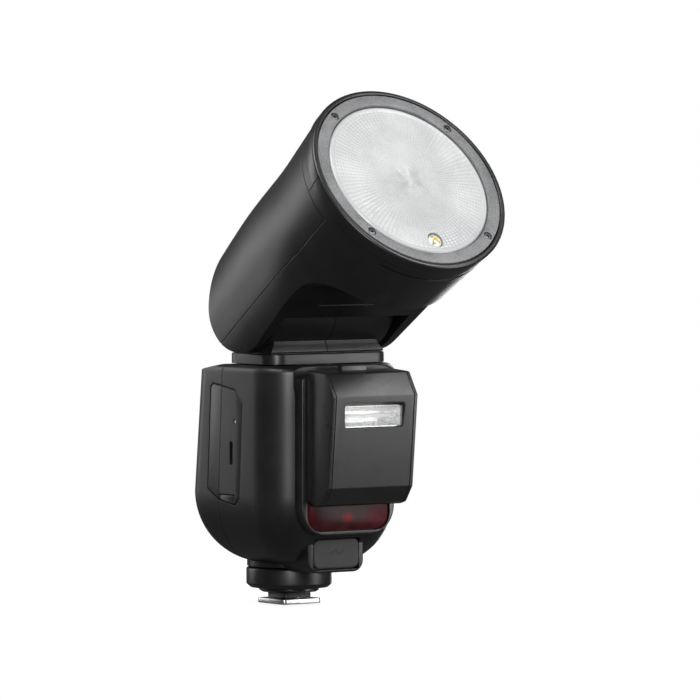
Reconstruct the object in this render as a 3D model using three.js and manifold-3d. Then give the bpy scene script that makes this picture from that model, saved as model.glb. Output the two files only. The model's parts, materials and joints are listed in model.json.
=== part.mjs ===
// A camera-top flash with a round head, a clip-on small flash and a side battery.
// Millimetres. +Z is up, the flash fires towards -Y, and the origin is the centre of the foot's underside.
import * as THREE from "three";
import { mergeVertices } from "three/addons/utils/BufferGeometryUtils.js";
import Module from "manifold-3d";

const wasm = await Module();
wasm.setup();

// ---- driving dimensions -------------------------------------------------------------------------
const GAP = 0.3; // clearance between touching pieces
const WALL = 2.4; // wall of the moulded shells

const FOOT = { width: 18.6, length: 18, thickness: 2, neckSide: 12.6, window: 4.6 };
const NECK = { radius: 7.6, from: 12.2, to: 27 }; // round part of the foot's neck, inside the body
const CLAMP = { radius: 11.8, bottom: 4.5, top: 6 };
const RING = { radius: 16.8, bore: 9.4, bottom: 6.3, top: 14.2 };

const BODY = {
  halfWidth: 32,
  front: -38, // front of the two columns beside the small flash
  back: 24.6, // back of the body where it is deepest
  backLean: 0.1, // how much the back comes forward for each millimetre of height
  deepest: 44, // height where the back is deepest and the rounded bottom ends
  bottom: 17,
  top: 94,
  bottomInset: 19.5, // how far the rounded bottom pulls in
  frontRadius: 16,
  backRadius: 9,
};
const LEAN = THREE.MathUtils.degToRad(3.2); // lean of the battery and of the line between the shells
const RECESS = { halfWidth: 22.3, floor: -35, bottom: 28.3, top: 89.4, round: 7 }; // behind the small flash

const PIVOT = { y: -13, z: 119.3 }; // tilt axis, above the swivel axis
const REST_TILT = THREE.MathUtils.degToRad(36.6);
const BASE = { halfWidth: 28.5, halfDepth: 15.8, bottom: 94.4, top: 98.4, radius: 7 };
const DRUM = { radius: 19.6, halfWidth: 27.4 };

const HEAD = {
  rimRadius: 41.8,
  front: 81, // front of the rim, ahead of the tilt axis
  taper: Math.tan(THREE.MathUtils.degToRad(4.5)),
  sag: 1.4, // how far the rim's centre lies below the tilt axis
  collar: 71, // front edge of the top cover
  shellEnd: 75.6, // front edge of the shells, behind the rim
  earRadius: 20.5, // rounded ends beside the hinge drum
  earInner: 29.6,
  scoopWall: 49.5, // where the underside steps up to clear the small flash
  scoopRadius: 13.5,
};
const BEZEL = { outer: 39.3, inner: 34.4, front: 80.9, back: 76.2, screwCircle: 36.9 };
const BEZEL_SCREWS = { head: 1.45, shank: 0.6, angles: [39.5, 127, 220.5, 313] };
const AXLE = { radius: 4, bore: 4.3, hollow: 2.6 };
const RELEASE = { radius: 4.4, y: -9, z: 2 }; // button in the head's right ear
const ZOOM = { z: 29.4, rear: 50 }; // height of the lead screw, and rear end of the reflector

const PACK = { front: -12.6, back: 8.8, bottom: 39.8, top: 84.2, corner: 5, inner: 19, radius: 3, wall: 1.6 };
const PACK_RISE = { middle: 1.8, rear: 4.8, top: 2.2 }; // how the edges climb towards the back
const LATCH = { front: -8, back: 1.4, top: 43.4, inner: -27, travel: 1.2 };
const CHARGE = { port: [55, 64.4], lightY: -8.5, lightZ: 72 };
const PORT = { halfWidth: 10.6, bottom: 15, top: 26.6, floor: -27.6, hingeY: -30.6, hingeZ: 15.9 };
const AF_WINDOW = { halfWidth: 19.3, bottom: 30.5, top: 43.1 };
const UNIT = { half: 20.2, back: -39.9, wall: 1.6, seam: 1.8 }; // clip-on small flash
const UNIT_WINDOW = { halfWidth: 13.3, bottom: 71, top: 79.2 };
const UNIT_TAB = { halfWidth: 6, front: -43.4, back: -40.3, bottom: 91, top: 94.2, travel: 1.5 };
const SEAT = { halfWidth: 5, bottom: 60, top: 66 }; // opening for the small flash's contacts

// ---- solids: making, placing, joining and cutting ----------------------------------------------
function signedVolume(position, index) {
  const a = new THREE.Vector3();
  const b = new THREE.Vector3();
  const c = new THREE.Vector3();
  let sum = 0;
  for (let i = 0; i < index.length; i += 3) {
    a.fromArray(position, 3 * index[i]);
    b.fromArray(position, 3 * index[i + 1]);
    c.fromArray(position, 3 * index[i + 2]);
    sum += a.dot(b.cross(c));
  }
  return sum;
}

// Turns a closed three.js geometry into a solid, with its faces pointing out.
function solid(geometry) {
  const bare = new THREE.BufferGeometry();
  bare.setAttribute("position", geometry.getAttribute("position").clone());
  if (geometry.index) bare.setIndex(geometry.index.clone());
  const merged = mergeVertices(bare, 1e-4);
  const position = Float32Array.from(merged.getAttribute("position").array);
  const triangles = [];
  const source = merged.index.array;
  for (let i = 0; i < source.length; i += 3) {
    const [a, b, c] = [source[i], source[i + 1], source[i + 2]];
    if (a !== b && b !== c && c !== a) triangles.push(a, b, c);
  }
  if (signedVolume(position, triangles) < 0) triangles.reverse();
  const mesh = new wasm.Mesh({
    numProp: 3,
    vertProperties: position,
    triVerts: Uint32Array.from(triangles),
  });
  return new wasm.Manifold(mesh);
}

function geometryOf(body) {
  const mesh = body.getMesh();
  const geometry = new THREE.BufferGeometry();
  geometry.setAttribute("position", new THREE.BufferAttribute(Float32Array.from(mesh.vertProperties), 3));
  geometry.setIndex(new THREE.BufferAttribute(Uint32Array.from(mesh.triVerts), 1));
  geometry.computeVertexNormals();
  return geometry;
}

const join = (first, ...rest) => rest.reduce((sum, body) => sum.add(body), first);
const cut = (first, ...rest) => rest.reduce((sum, body) => sum.subtract(body), first);
const common = (first, ...rest) => rest.reduce((sum, body) => sum.intersect(body), first);

function block([x0, x1], [y0, y1], [z0, z1]) {
  const geometry = new THREE.BoxGeometry(x1 - x0, y1 - y0, z1 - z0);
  geometry.translate((x0 + x1) / 2, (y0 + y1) / 2, (z0 + z1) / 2);
  return solid(geometry);
}

// The turn that carries a shape's own Z axis onto the named axis.
const AXIS_TURN = {
  x: new THREE.Matrix4().set(0, 0, 1, 0, 1, 0, 0, 0, 0, 1, 0, 0, 0, 0, 0, 1),
  y: new THREE.Matrix4().set(1, 0, 0, 0, 0, 0, -1, 0, 0, 1, 0, 0, 0, 0, 0, 1),
  z: new THREE.Matrix4(),
};

// Extrudes an outline between two positions along an axis. The outline's own axes are Y and Z for
// axis x, X and Z for axis y, and X and Y for axis z.
function prism(outline, axis, from, to, curveSegments = 6) {
  const flip = axis === "y";
  const depth = to - from;
  const geometry = new THREE.ExtrudeGeometry(outline, { depth, bevelEnabled: false, curveSegments });
  geometry.translate(0, 0, flip ? -to : from);
  geometry.applyMatrix4(AXIS_TURN[axis]);
  return solid(geometry);
}

function rod(axis, radius, from, to, a = 0, b = 0, sides = 16) {
  const circle = new THREE.Shape();
  circle.absarc(a, b, radius, 0, 2 * Math.PI, false);
  return prism(circle, axis, from, to, sides / 2);
}

// Turns a closed profile of (radius, height) points about an upright axis through (x, y).
function turned(profile, x = 0, y = 0, sides = 32) {
  const points = profile.map(([radius, height]) => new THREE.Vector2(radius, height));
  points.push(points[0].clone());
  const geometry = new THREE.LatheGeometry(points, sides);
  geometry.rotateX(Math.PI / 2);
  geometry.translate(x, y, 0);
  return solid(geometry);
}

// Turns a closed profile of (radius, forward) points about the head's own axis, which runs along -Y.
function turnedForward(profile, sides = 40, x = 0, z = 0) {
  const points = profile.map(([radius, forward]) => new THREE.Vector2(radius, -forward));
  points.push(points[0].clone());
  const geometry = new THREE.LatheGeometry(points, sides);
  geometry.translate(x, 0, z);
  return solid(geometry);
}

// A rectangle with round corners; radii run from the low-low corner anticlockwise.
function roundedRect(x0, x1, y0, y1, radii) {
  const [a, b, c, d] = Array.isArray(radii) ? radii : [radii, radii, radii, radii];
  const outline = new THREE.Shape();
  outline.absarc(x0 + a, y0 + a, a, Math.PI, 1.5 * Math.PI, false);
  outline.absarc(x1 - b, y0 + b, b, 1.5 * Math.PI, 2 * Math.PI, false);
  outline.absarc(x1 - c, y1 - c, c, 0, 0.5 * Math.PI, false);
  outline.absarc(x0 + d, y1 - d, d, 0.5 * Math.PI, Math.PI, false);
  outline.closePath();
  return outline;
}

function polygon(points) {
  return new THREE.Shape(points.map(([x, y]) => new THREE.Vector2(x, y)));
}

// Skins a stack of rings with equal numbers of points, and closes both ends with a fan.
function loft(rings) {
  const count = rings[0].length;
  const points = rings.flat();
  const faces = [];
  for (let ring = 0; ring + 1 < rings.length; ring++) {
    for (let i = 0; i < count; i++) {
      const a = ring * count + i;
      const b = ring * count + ((i + 1) % count);
      faces.push(a, b, b + count, a, b + count, a + count);
    }
  }
  for (let i = 1; i + 1 < count; i++) {
    const last = (rings.length - 1) * count;
    faces.push(0, i + 1, i, last, last + i, last + i + 1);
  }
  const geometry = new THREE.BufferGeometry();
  geometry.setAttribute("position", new THREE.Float32BufferAttribute(points.flatMap((p) => p.toArray()), 3));
  geometry.setIndex(faces);
  return solid(geometry);
}

// ---- scene graph --------------------------------------------------------------------------------
const flash = new THREE.Group();
const head = new THREE.Group(); // the head is drawn level, and its group tilts it
head.position.set(0, PIVOT.y, PIVOT.z);
head.rotation.x = -REST_TILT;
flash.add(head);

const FINISH = {
  shell: { color: 0x1b1c1e, roughness: 0.55, metalness: 0 },
  satin: { color: 0x26272a, roughness: 0.42, metalness: 0 },
  gloss: { color: 0x101114, roughness: 0.2, metalness: 0 },
  rubber: { color: 0x222326, roughness: 0.8, metalness: 0 },
  red: { color: 0x5a0a0d, roughness: 0.15, metalness: 0 },
  lens: { color: 0xd5d8da, roughness: 0.25, metalness: 0 },
  mirror: { color: 0xd8d8d4, roughness: 0.12, metalness: 1 },
  steel: { color: 0xb9bcc0, roughness: 0.3, metalness: 1 },
  dark_steel: { color: 0x3a3b3d, roughness: 0.35, metalness: 1 },
  brass: { color: 0xc9a24a, roughness: 0.3, metalness: 1 },
  board: { color: 0x1e4d33, roughness: 0.5, metalness: 0 },
};

function add(name, body, finish, group = flash) {
  const mesh = new THREE.Mesh(geometryOf(body), new THREE.MeshStandardMaterial({ ...FINISH[finish] }));
  mesh.name = name;
  group.add(mesh);
}

// ---- body ---------------------------------------------------------------------------------------
// How far the outline pulls in at a height: a quarter ellipse at the bottom, a small round at the top.
function bodyInset(z) {
  const down = (BODY.deepest - z) / (BODY.deepest - BODY.bottom + 0.6);
  const up = Math.max(0, z - (BODY.top - 3)) / 3;
  const low = down > 0 ? BODY.bottomInset * (1 - Math.sqrt(1 - down * down)) : 0;
  return low + 3 * (1 - Math.sqrt(1 - up * up * 0.95));
}

function bodyRing(z, wall) {
  const inset = bodyInset(z) + wall;
  const back = BODY.back - BODY.backLean * Math.max(0, z - BODY.deepest) - inset;
  const front = BODY.front + inset;
  const side = BODY.halfWidth - inset;
  const rf = Math.max(3, BODY.frontRadius - inset * 0.6);
  const rb = Math.max(3, BODY.backRadius - wall);
  const outline = roundedRect(-side, side, front, back, [rf, rf, rb, rb]);
  return outline.getPoints(5).slice(0, -1).map((p) => new THREE.Vector3(p.x, p.y, z));
}

function bodySolid(wall, bottom, top) {
  const curve = [0, 0.07, 0.2, 0.4, 0.7, 1].map((t) => bottom + t * (BODY.deepest - bottom));
  const crown = [0, 0.5, 0.85, 1].map((t) => top - 3 + 3 * t);
  return loft([...curve, ...crown].map((z) => bodyRing(z, wall)));
}

// Everything in front of the leaning plane between the two body shells.
const PARTING = { y: 1, z: 69 };
function leaningY(y, z) {
  return y - Math.tan(LEAN) * (z - PARTING.z);
}
function aheadOfParting(offset) {
  const y = PARTING.y + offset;
  const outline = polygon([[-80, 0], [leaningY(y, 0), 0], [leaningY(y, 120), 120], [-80, 120]]);
  return prism(outline, "x", -60, 60);
}
function behindParting(offset) {
  const y = PARTING.y + offset;
  const outline = polygon([[leaningY(y, 0), 0], [80, 0], [80, 120], [leaningY(y, 120), 120]]);
  return prism(outline, "x", -60, 60);
}

// Battery pack outline on the left side, drawn in (Y, Z) with its front top corner cut off.
function packOutline(grow) {
  const [y0, y1] = [PACK.front - grow, PACK.back + grow];
  const [z0, z1] = [PACK.bottom - grow, PACK.top + grow];
  const lean = (y, z) => [leaningY(y, z) - leaningY(0, (z0 + z1) / 2), z];
  const r = PACK.radius;
  const rise = PACK_RISE;
  return polygon([
    lean(y0 + r, z0), lean(PARTING.y, z0 + rise.middle), lean(y1 - r, z0 + rise.rear - 0.7),
    lean(y1, z0 + rise.rear + 1), lean(y1, z1 + rise.top - r / 2), lean(y1 - r / 2, z1 + rise.top),
    lean(y0 + PACK.corner, z1), lean(y0, z1 - PACK.corner), lean(y0, z0 + r),
  ]);
}

const portFrame = roundedRect(-13.2, 13.2, 13.6, 27, [4.5, 4.5, 1.5, 1.5]);
const ringRoom = rod("z", RING.radius + GAP, 0, RING.top + GAP, 0, 0, 40);
const portHousing = cut(prism(portFrame, "y", -31.2, -14, 4), ringRoom);
const portPocket = block([-PORT.halfWidth - GAP, PORT.halfWidth + GAP], [-40, PORT.floor],
  [PORT.bottom - GAP, PORT.top + GAP]);

// Front view of the recess: straight walls that round outwards into the top.
function recessOutline() {
  const { halfWidth, bottom, top, round } = RECESS;
  const steps = [0, 0.25, 0.5, 0.75, 1].map((t) => (t * Math.PI) / 2);
  const flare = steps.map((angle) => [
    halfWidth + round * (1 - Math.cos(angle)), top - round * (1 - Math.sin(angle)),
  ]);
  const right = [[halfWidth, bottom], ...flare, [halfWidth + round, 120]];
  const left = right.map(([x, z]) => [-x, z]).reverse();
  return polygon([...right, ...left]);
}

function addBody() {
  const outer = bodySolid(0, BODY.bottom, BODY.top);
  const inner = bodySolid(WALL, BODY.bottom + WALL, BODY.top - WALL);
  const aboveSlope = (drop) => {
    const side = polygon([[0, 94.4 - drop], [40, 86.8 - drop], [40, 110], [0, 110]]);
    return prism(side, "x", -60, 60);
  };
  const neckHole = rod("z", NECK.radius + 0.4, 0, 30);
  const swivelHole = rod("z", 13.3, 80, 120, 0, PIVOT.y);
  const packBay = prism(packOutline(GAP), "x", -60, PACK.inner + GAP);
  const recess = prism(recessOutline(), "y", -60, RECESS.floor);
  const neck = turned([[8, 14.6], [16.5, 14.6], [16.5, 19.2], [8, 19.2]]);
  const recessWall = block([-60, 60], [-60, RECESS.floor + WALL], [RECESS.bottom - WALL, 120]);
  const socketRoom = block([-8.3, 8.3], [-27.7, -20], [16, 26]);
  const hollow = join(cut(inner, aboveSlope(WALL), recessWall), socketRoom);
  const openings = [aboveSlope(0), neckHole, swivelHole, packBay, recess, portPocket];
  const shell = cut(join(outer, portHousing, neck), hollow, ...openings);
  const frontShell = cut(shell, lampRoom(), seatOpening());
  add("body_front_shell", common(frontShell, aheadOfParting(-GAP / 2)), "shell");
  const rearShell = common(shell, behindParting(GAP / 2));
  add("body_rear_shell", cut(rearShell, ...rearOpenings()), "shell");
}

const seatOpening = () => block([-SEAT.halfWidth, SEAT.halfWidth], [-60, -30], [SEAT.bottom, SEAT.top]);
const lampRoom = () => block([-17, 17], [-37, -30], [32, 41.5]);

function addFrontFascia() {
  const outline = roundedRect(-22, 22, 28.6, 90, [10, 10, 2, 2]);
  const windowOutline = (grow) => roundedRect(-AF_WINDOW.halfWidth - grow, AF_WINDOW.halfWidth + grow,
    AF_WINDOW.bottom - grow, AF_WINDOW.top + grow, [10 + grow, 10 + grow, 0.8 + grow, 0.8 + grow]);
  const windowHole = prism(windowOutline(GAP), "y", -60, -36.9);
  const plate = prism(outline, "y", -39.4, RECESS.floor - GAP, 5);
  add("front_fascia", cut(plate, windowHole, lampRoom(), seatOpening()), "satin");
  add("af_assist_window", prism(windowOutline(0), "y", -38.8, -37.2, 5), "red");
  const lampBoard = block([-8, 8], [-33, -31.6], [33, 40]);
  add("af_assist_lamp", join(lampBoard, rod("y", 2.2, -36.6, -33, 0, 36.5, 16)), "red");
  const contactBlock = block([-SEAT.halfWidth + 0.4, SEAT.halfWidth - 0.4], [-39.2, -32.4],
    [SEAT.bottom + 0.4, SEAT.top - 0.4]);
  add("small_flash_contacts", contactBlock, "brass");
}

function addPort() {
  const flatSocket = block([-5.6, -1.2], [-40, -23], [19.2, 23.2]);
  const roundSocket = rod("y", 1.8, -40, -23, 4.4, 21.2, 16);
  add("port_socket", cut(block([-8, 8], [-27.3, -21.5], [17.4, 25]), flatSocket, roundSocket), "gloss");
  const coverOutline = roundedRect(-PORT.halfWidth, PORT.halfWidth, PORT.bottom + 0.4, PORT.top, 2.6);
  const cover = prism(coverOutline, "y", -31.6, -29.2, 5);
  const plug = block([-6.6, 6.6], [-29.3, -27.7], [18.6, 24.2]);
  const hinge = rod("x", 0.9, -8, 8, PORT.hingeY, PORT.hingeZ, 12);
  add("port_flap", join(cover, plug, hinge), "rubber");
}

// ---- battery ------------------------------------------------------------------------------------
function addBattery() {
  const face = -BODY.halfWidth;
  const outer = prism(packOutline(0), "x", face, PACK.inner);
  const hollow = prism(packOutline(-PACK.wall), "x", face + PACK.wall, PACK.inner - PACK.wall);
  const slot = prism(roundedRect(-7.1, -5.1, ...CHARGE.port, 0.95), "x", -40, -27.2, 4);
  const lamp = rod("x", 0.95, -40, -28, CHARGE.lightY, CHARGE.lightZ, 12);
  const latchPocket = block([-40, LATCH.inner + LATCH.travel + GAP], [LATCH.front - GAP, LATCH.back + GAP],
    [0, LATCH.top + GAP]);
  const latchWall = block([face + 1, LATCH.inner + LATCH.travel + 1.5], [LATCH.front - 1.5, LATCH.back + 1],
    [0, LATCH.top + 1.5]);
  const caseShell = cut(join(cut(outer, hollow), common(latchWall, outer)), slot, lamp, latchPocket);
  add("battery_case_front", common(caseShell, aheadOfParting(-GAP / 2)), "shell");
  add("battery_case_rear", common(caseShell, behindParting(GAP / 2)), "shell");
  add("battery_charge_light", rod("x", 0.7, -31.7, -28, CHARGE.lightY, CHARGE.lightZ, 12), "gloss");
  const socketBody = prism(roundedRect(-8.6, -3.6, 53, 66.4, 1), "x", -29.9, -22, 3);
  const socketHole = prism(roundedRect(-7, -5.2, 55.2, 64.2, 0.8), "x", -40, -24, 3);
  add("battery_charge_socket", cut(socketBody, socketHole), "steel");
  const latch = block([face + 0.1, LATCH.inner], [LATCH.front, LATCH.back], [0, LATCH.top]);
  add("battery_latch", common(latch, prism(packOutline(-0.2), "x", -60, 0)), "satin");
}

// ---- rear controls and inside of the body -------------------------------------------------------
// The rear controls are drawn on an upright panel, and their group leans with the body's back.
const PANEL = { y: BODY.back, z: BODY.deepest, lean: Math.atan(BODY.backLean) };
const rearPanel = new THREE.Group();
rearPanel.position.set(0, PANEL.y, PANEL.z);
rearPanel.rotation.x = PANEL.lean;
flash.add(rearPanel);

function leanWithPanel(body) {
  const geometry = geometryOf(body);
  geometry.rotateX(PANEL.lean);
  geometry.translate(0, PANEL.y, PANEL.z);
  return solid(geometry);
}

const SCREEN = { halfWidth: 23, bottom: 19, top: 45, lip: 2 };
const SOFT_KEYS = [-17.1, -5.7, 5.7, 17.1];
const SOFT_KEY = { halfWidth: 4.4, bottom: 12.6, top: 16.2 };
const DIAL = { radius: 10.6, hub: 4.4 };
const SIDE_KEYS = { mode_button: -20, test_button: 20 }; // their places across the panel
const SIDE_KEY = { radius: 3, z: 4.5 };
const SWITCH = { left: 14, width: 4, travel: 4, bottom: -7.3, top: -3.7 };

function rearOpenings() {
  const { halfWidth, bottom, top, lip } = SCREEN;
  const holes = [
    block([-halfWidth - GAP, halfWidth + GAP], [-1.4, 5], [bottom - GAP, top + GAP]),
    block([lip - halfWidth, halfWidth - lip], [-9, 5], [bottom + lip, top - lip]),
    rod("y", DIAL.radius + GAP, -1.6, 5, 0, 0, 32),
    rod("y", DIAL.hub + 1, -9, 5, 0, 0, 24),
  ];
  for (const x of SOFT_KEYS) {
    holes.push(block([x - SOFT_KEY.halfWidth - GAP, x + SOFT_KEY.halfWidth + GAP], [-9, 5],
      [SOFT_KEY.bottom - GAP, SOFT_KEY.top + GAP]));
  }
  for (const x of Object.values(SIDE_KEYS)) {
    holes.push(rod("y", SIDE_KEY.radius + GAP, -9, 5, x, SIDE_KEY.z, 20));
  }
  holes.push(block([SWITCH.left - GAP, SWITCH.left + SWITCH.width + SWITCH.travel + GAP], [-9, 5],
    [SWITCH.bottom - GAP, SWITCH.top + GAP]));
  return holes.map(leanWithPanel);
}

function addRearControls() {
  const glass = roundedRect(-SCREEN.halfWidth, SCREEN.halfWidth, SCREEN.bottom, SCREEN.top, 1.5);
  add("screen_window", prism(glass, "y", -1.1, 0.3, 4), "gloss", rearPanel);
  SOFT_KEYS.forEach((x, index) => {
    const { halfWidth, bottom, top } = SOFT_KEY;
    const outline = roundedRect(x - halfWidth, x + halfWidth, bottom, top, 1);
    add(`soft_key_${index + 1}`, prism(outline, "y", -4.2, 0.9, 2), "rubber", rearPanel);
  });
  const dial = cut(rod("y", DIAL.radius, -1.3, 1.4, 0, 0, 40), rod("y", DIAL.hub + GAP, -9, 5, 0, 0, 24));
  add("control_dial", dial, "satin", rearPanel);
  add("set_button", rod("y", DIAL.hub, -4.2, 1.1, 0, 0, 24), "rubber", rearPanel);
  for (const [name, x] of Object.entries(SIDE_KEYS)) {
    add(name, rod("y", SIDE_KEY.radius, -4.2, 1, x, SIDE_KEY.z, 20), "rubber", rearPanel);
  }
  const { left, width, bottom, top } = SWITCH;
  add("power_switch", block([left, left + width], [-4.2, 1.2], [bottom, top]), "satin", rearPanel);
}

function addBodyInside() {
  add("main_board", block([-22, 22], [13.4, 15], [46, 78]), "board");
  const can = { radius: 8, x: 7, y: -22.6, bottom: 32, top: 84 };
  const terminals = rod("z", 3, can.bottom - 1, can.bottom + 0.2, can.x, can.y, 12);
  const cylinder = rod("z", can.radius, can.bottom, can.top, can.x, can.y, 24);
  add("flash_capacitor", join(cylinder, terminals), "satin");
}

// ---- hot-shoe foot ------------------------------------------------------------------------------
const PINS = [[0, 0], [-3, -3], [3, -3], [-3, 3], [3, 3]];
const PIN_RADIUS = 0.62;
const LOCK_PIN = { radius: 0.5, y: -5.5 };

function addFoot() {
  const half = FOOT.neckSide / 2;
  const square = (reach) => [-reach, reach];
  const neckOutline = roundedRect(-half, half, -half, half, 1.2);
  const neckBlock = prism(neckOutline, "z", FOOT.thickness + GAP, NECK.from + 0.2, 3);
  const core = join(neckBlock, rod("z", NECK.radius, NECK.from, NECK.to, 0, 0, 28));
  const pinWell = block(square(FOOT.window), square(FOOT.window), [0, 5.4]);
  const lockWell = rod("z", LOCK_PIN.radius + 0.2, -1, 11.5, 0, LOCK_PIN.y, 10);
  add("foot_neck", cut(core, pinWell, lockWell), "shell");
  const [x, y] = [FOOT.width / 2, FOOT.length / 2];
  const plate = prism(roundedRect(-x, x, -y, y, 1.6), "z", 0, FOOT.thickness, 3);
  const window = block(square(FOOT.window), square(FOOT.window), [-1, 3]);
  add("foot_plate", cut(plate, window, lockWell), "steel");
  const insert = block(square(FOOT.window - GAP), square(FOOT.window - GAP), [0.2, 3]);
  const holes = PINS.map(([px, py]) => rod("z", PIN_RADIUS + 0.33, -1, 5, px, py, 12));
  add("contact_insert", cut(insert, ...holes), "gloss");
  const carrier = block(square(FOOT.window - 0.5), square(FOOT.window - 0.5), [3.4, 4.6]);
  const pins = PINS.map(([px, py]) => rod("z", PIN_RADIUS, -0.5, 3.6, px, py, 8));
  add("contact_pins", join(carrier, ...pins), "brass");
}

function addLock() {
  const side = FOOT.neckSide / 2 + GAP;
  const square = prism(roundedRect(-side, side, -side, side, 1), "z", 0, 30, 3);
  const { radius, bottom, top } = CLAMP;
  const profile = [[0, bottom], [radius - 1.2, bottom], [radius, bottom + 0.7], [radius, top], [0, top]];
  const clamp = turned(profile);
  add("clamp_plate", cut(clamp, square), "satin");
  const ring = turned([[RING.bore, RING.bottom], [RING.radius - 1.6, RING.bottom],
    [RING.radius, RING.bottom + 1.4], [RING.radius, RING.top - 0.8], [RING.radius - 0.8, RING.top],
    [RING.bore, RING.top]], 0, 0, 40);
  add("lock_ring", ring, "shell");
  add("lock_pin", rod("z", LOCK_PIN.radius, 0.6, 10.6, 0, LOCK_PIN.y, 10), "steel");
}

// ---- clip-on small flash ------------------------------------------------------------------------
const UNIT_PROFILE = [
  [UNIT.back, 42.4], [-46, 40.4], [-49.6, 41.4], [-53.8, 47.6], [-57.1, 83], [-51.7, 91.8], [UNIT.back, 92.6],
];

// The small flash from its side, in (Y, Z), shrunk towards its middle.
function unitProfile(inward) {
  const middle = { y: -47, z: 67, halfDepth: 8.6, halfHeight: 26 };
  const shrink = (value, centre, half) => centre + (value - centre) * (1 - inward / half);
  return polygon(UNIT_PROFILE.map(([y, z]) => [
    shrink(y, middle.y, middle.halfDepth),
    shrink(z, middle.z, middle.halfHeight),
  ]));
}

function addSmallFlash() {
  const outer = prism(unitProfile(0), "x", -UNIT.half, UNIT.half);
  const band = UNIT.half - UNIT.seam;
  const hollow = prism(unitProfile(UNIT.wall), "x", -band + GAP, band - GAP);
  const frontBand = block([-band, band], [-70, -43.4], [30, 100]);
  const frontRoom = block([-band - GAP, band + GAP], [-70, -43.4 + GAP], [30, 100]);
  const bandHollow = prism(unitProfile(UNIT.wall - GAP), "x", -band - 1, band + 1);
  const pane = UNIT_WINDOW;
  const windowHole = block([-pane.halfWidth, pane.halfWidth], [-70, -53], [pane.bottom, pane.top]);
  const tab = UNIT_TAB;
  const tabHole = block([-tab.halfWidth - GAP, tab.halfWidth + GAP], [tab.front - GAP, UNIT.back + 1],
    [tab.bottom - tab.travel - GAP, 100]);
  const seat = block([-SEAT.halfWidth, SEAT.halfWidth], [-42, -38], [SEAT.bottom, SEAT.top]);
  add("small_flash_housing", cut(outer, hollow, frontRoom, tabHole, seat), "satin");
  add("small_flash_cover", cut(common(outer, frontBand), bandHollow, windowHole, tabHole), "satin");
  const paneSide = polygon([[-56, pane.bottom + GAP], [-55.2, pane.bottom + GAP], [-55.6, pane.top - GAP],
    [-56.6, pane.top - GAP]]);
  add("small_flash_window", prism(paneSide, "x", -pane.halfWidth + GAP, pane.halfWidth - GAP), "lens");
  const bowlHalf = 14.6;
  const bowlSide = polygon([[-54, 70.2], [-54, 80], [-49.4, 77.6], [-47.4, 75.1], [-49.4, 72.6]]);
  const bowlInside = polygon([[-60, 71.2], [-54, 71.2], [-50, 73.4], [-48.6, 75.1], [-50, 76.8], [-54, 79],
    [-60, 79]]);
  const bowlHollow = prism(bowlInside, "x", 1 - bowlHalf, bowlHalf - 1);
  add("small_flash_reflector", cut(prism(bowlSide, "x", -bowlHalf, bowlHalf), bowlHollow), "mirror");
  add("small_flash_tube", rod("x", 1.1, 1.4 - bowlHalf, bowlHalf - 1.4, -51, 75.1, 12), "lens");
  const press = block([-tab.halfWidth, tab.halfWidth], [tab.front, tab.back], [tab.bottom, tab.top]);
  add("small_flash_release", press, "satin");
}

// ---- swivel and hinge ---------------------------------------------------------------------------
function addSwivel() {
  const { halfWidth, halfDepth, bottom, top, radius } = BASE;
  const y0 = PIVOT.y + 0.4 - halfDepth;
  const y1 = PIVOT.y + 0.4 + halfDepth;
  const slabOutline = roundedRect(-halfWidth, halfWidth, y0, y1, radius);
  const slab = prism(slabOutline, "z", bottom, top, 5);
  const wireHole = rod("z", 7, 60, 120, 0, PIVOT.y, 24);
  const collar = rod("z", 12.9, 91, 94.6, 0, PIVOT.y, 32);
  add("swivel_base", cut(join(slab, collar), wireHole), "shell");
  const washer = [[7.2, 87], [15.6, 87], [15.6, 90.2], [12.6, 90.2], [12.6, 90.7], [7.2, 90.7]];
  add("swivel_retainer", turned(washer, 0, PIVOT.y), "dark_steel");
  const saddleSide = polygon([[-25.8, top + GAP], [0.6, top + GAP], [-1.4, 101.8], [-2.2, 104.6],
    [-23.8, 104.6], [-24.6, 101.8]]);
  const saddle = prism(saddleSide, "x", -DRUM.halfWidth, DRUM.halfWidth);
  const [wide, narrow] = [DRUM.halfWidth, 24.5];
  const shouldersFront = polygon([[-wide, 90], [wide, 90], [wide, 98.2], [narrow, 102.4], [narrow, 130],
    [-narrow, 130], [-narrow, 102.4], [-wide, 98.2]]);
  const shoulders = prism(shouldersFront, "y", -60, 60);
  const drum = rod("x", DRUM.radius, -DRUM.halfWidth, DRUM.halfWidth, PIVOT.y, PIVOT.z, 48);
  const axleBore = rod("x", AXLE.bore, -60, 60, PIVOT.y, PIVOT.z, 20);
  const wireWell = rod("z", 6.6, 90, PIVOT.z, 0, PIVOT.y, 24);
  const rearSides = [[-40, -24], [24, 40]].map((range) => block(range, [PIVOT.y, 40], [80, 103.2]));
  const whole = cut(join(cut(common(saddle, shoulders), ...rearSides), drum), axleBore, wireWell);
  add("hinge_drum_left", common(whole, block([-60, -GAP / 2], [-60, 60], [60, 160])), "shell");
  add("hinge_drum_right", common(whole, block([GAP / 2, 60], [-60, 60], [60, 160])), "shell");
  const axle = rod("x", AXLE.radius, -31.5, 31.5, PIVOT.y, PIVOT.z, 20);
  add("tilt_axle", cut(axle, rod("x", AXLE.hollow, -40, 40, PIVOT.y, PIVOT.z, 16)), "steel");
}

// ---- head ---------------------------------------------------------------------------------------
const smooth = (t) => {
  const k = Math.min(1, Math.max(0, t));
  return k * k * (3 - 2 * k);
};

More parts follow.
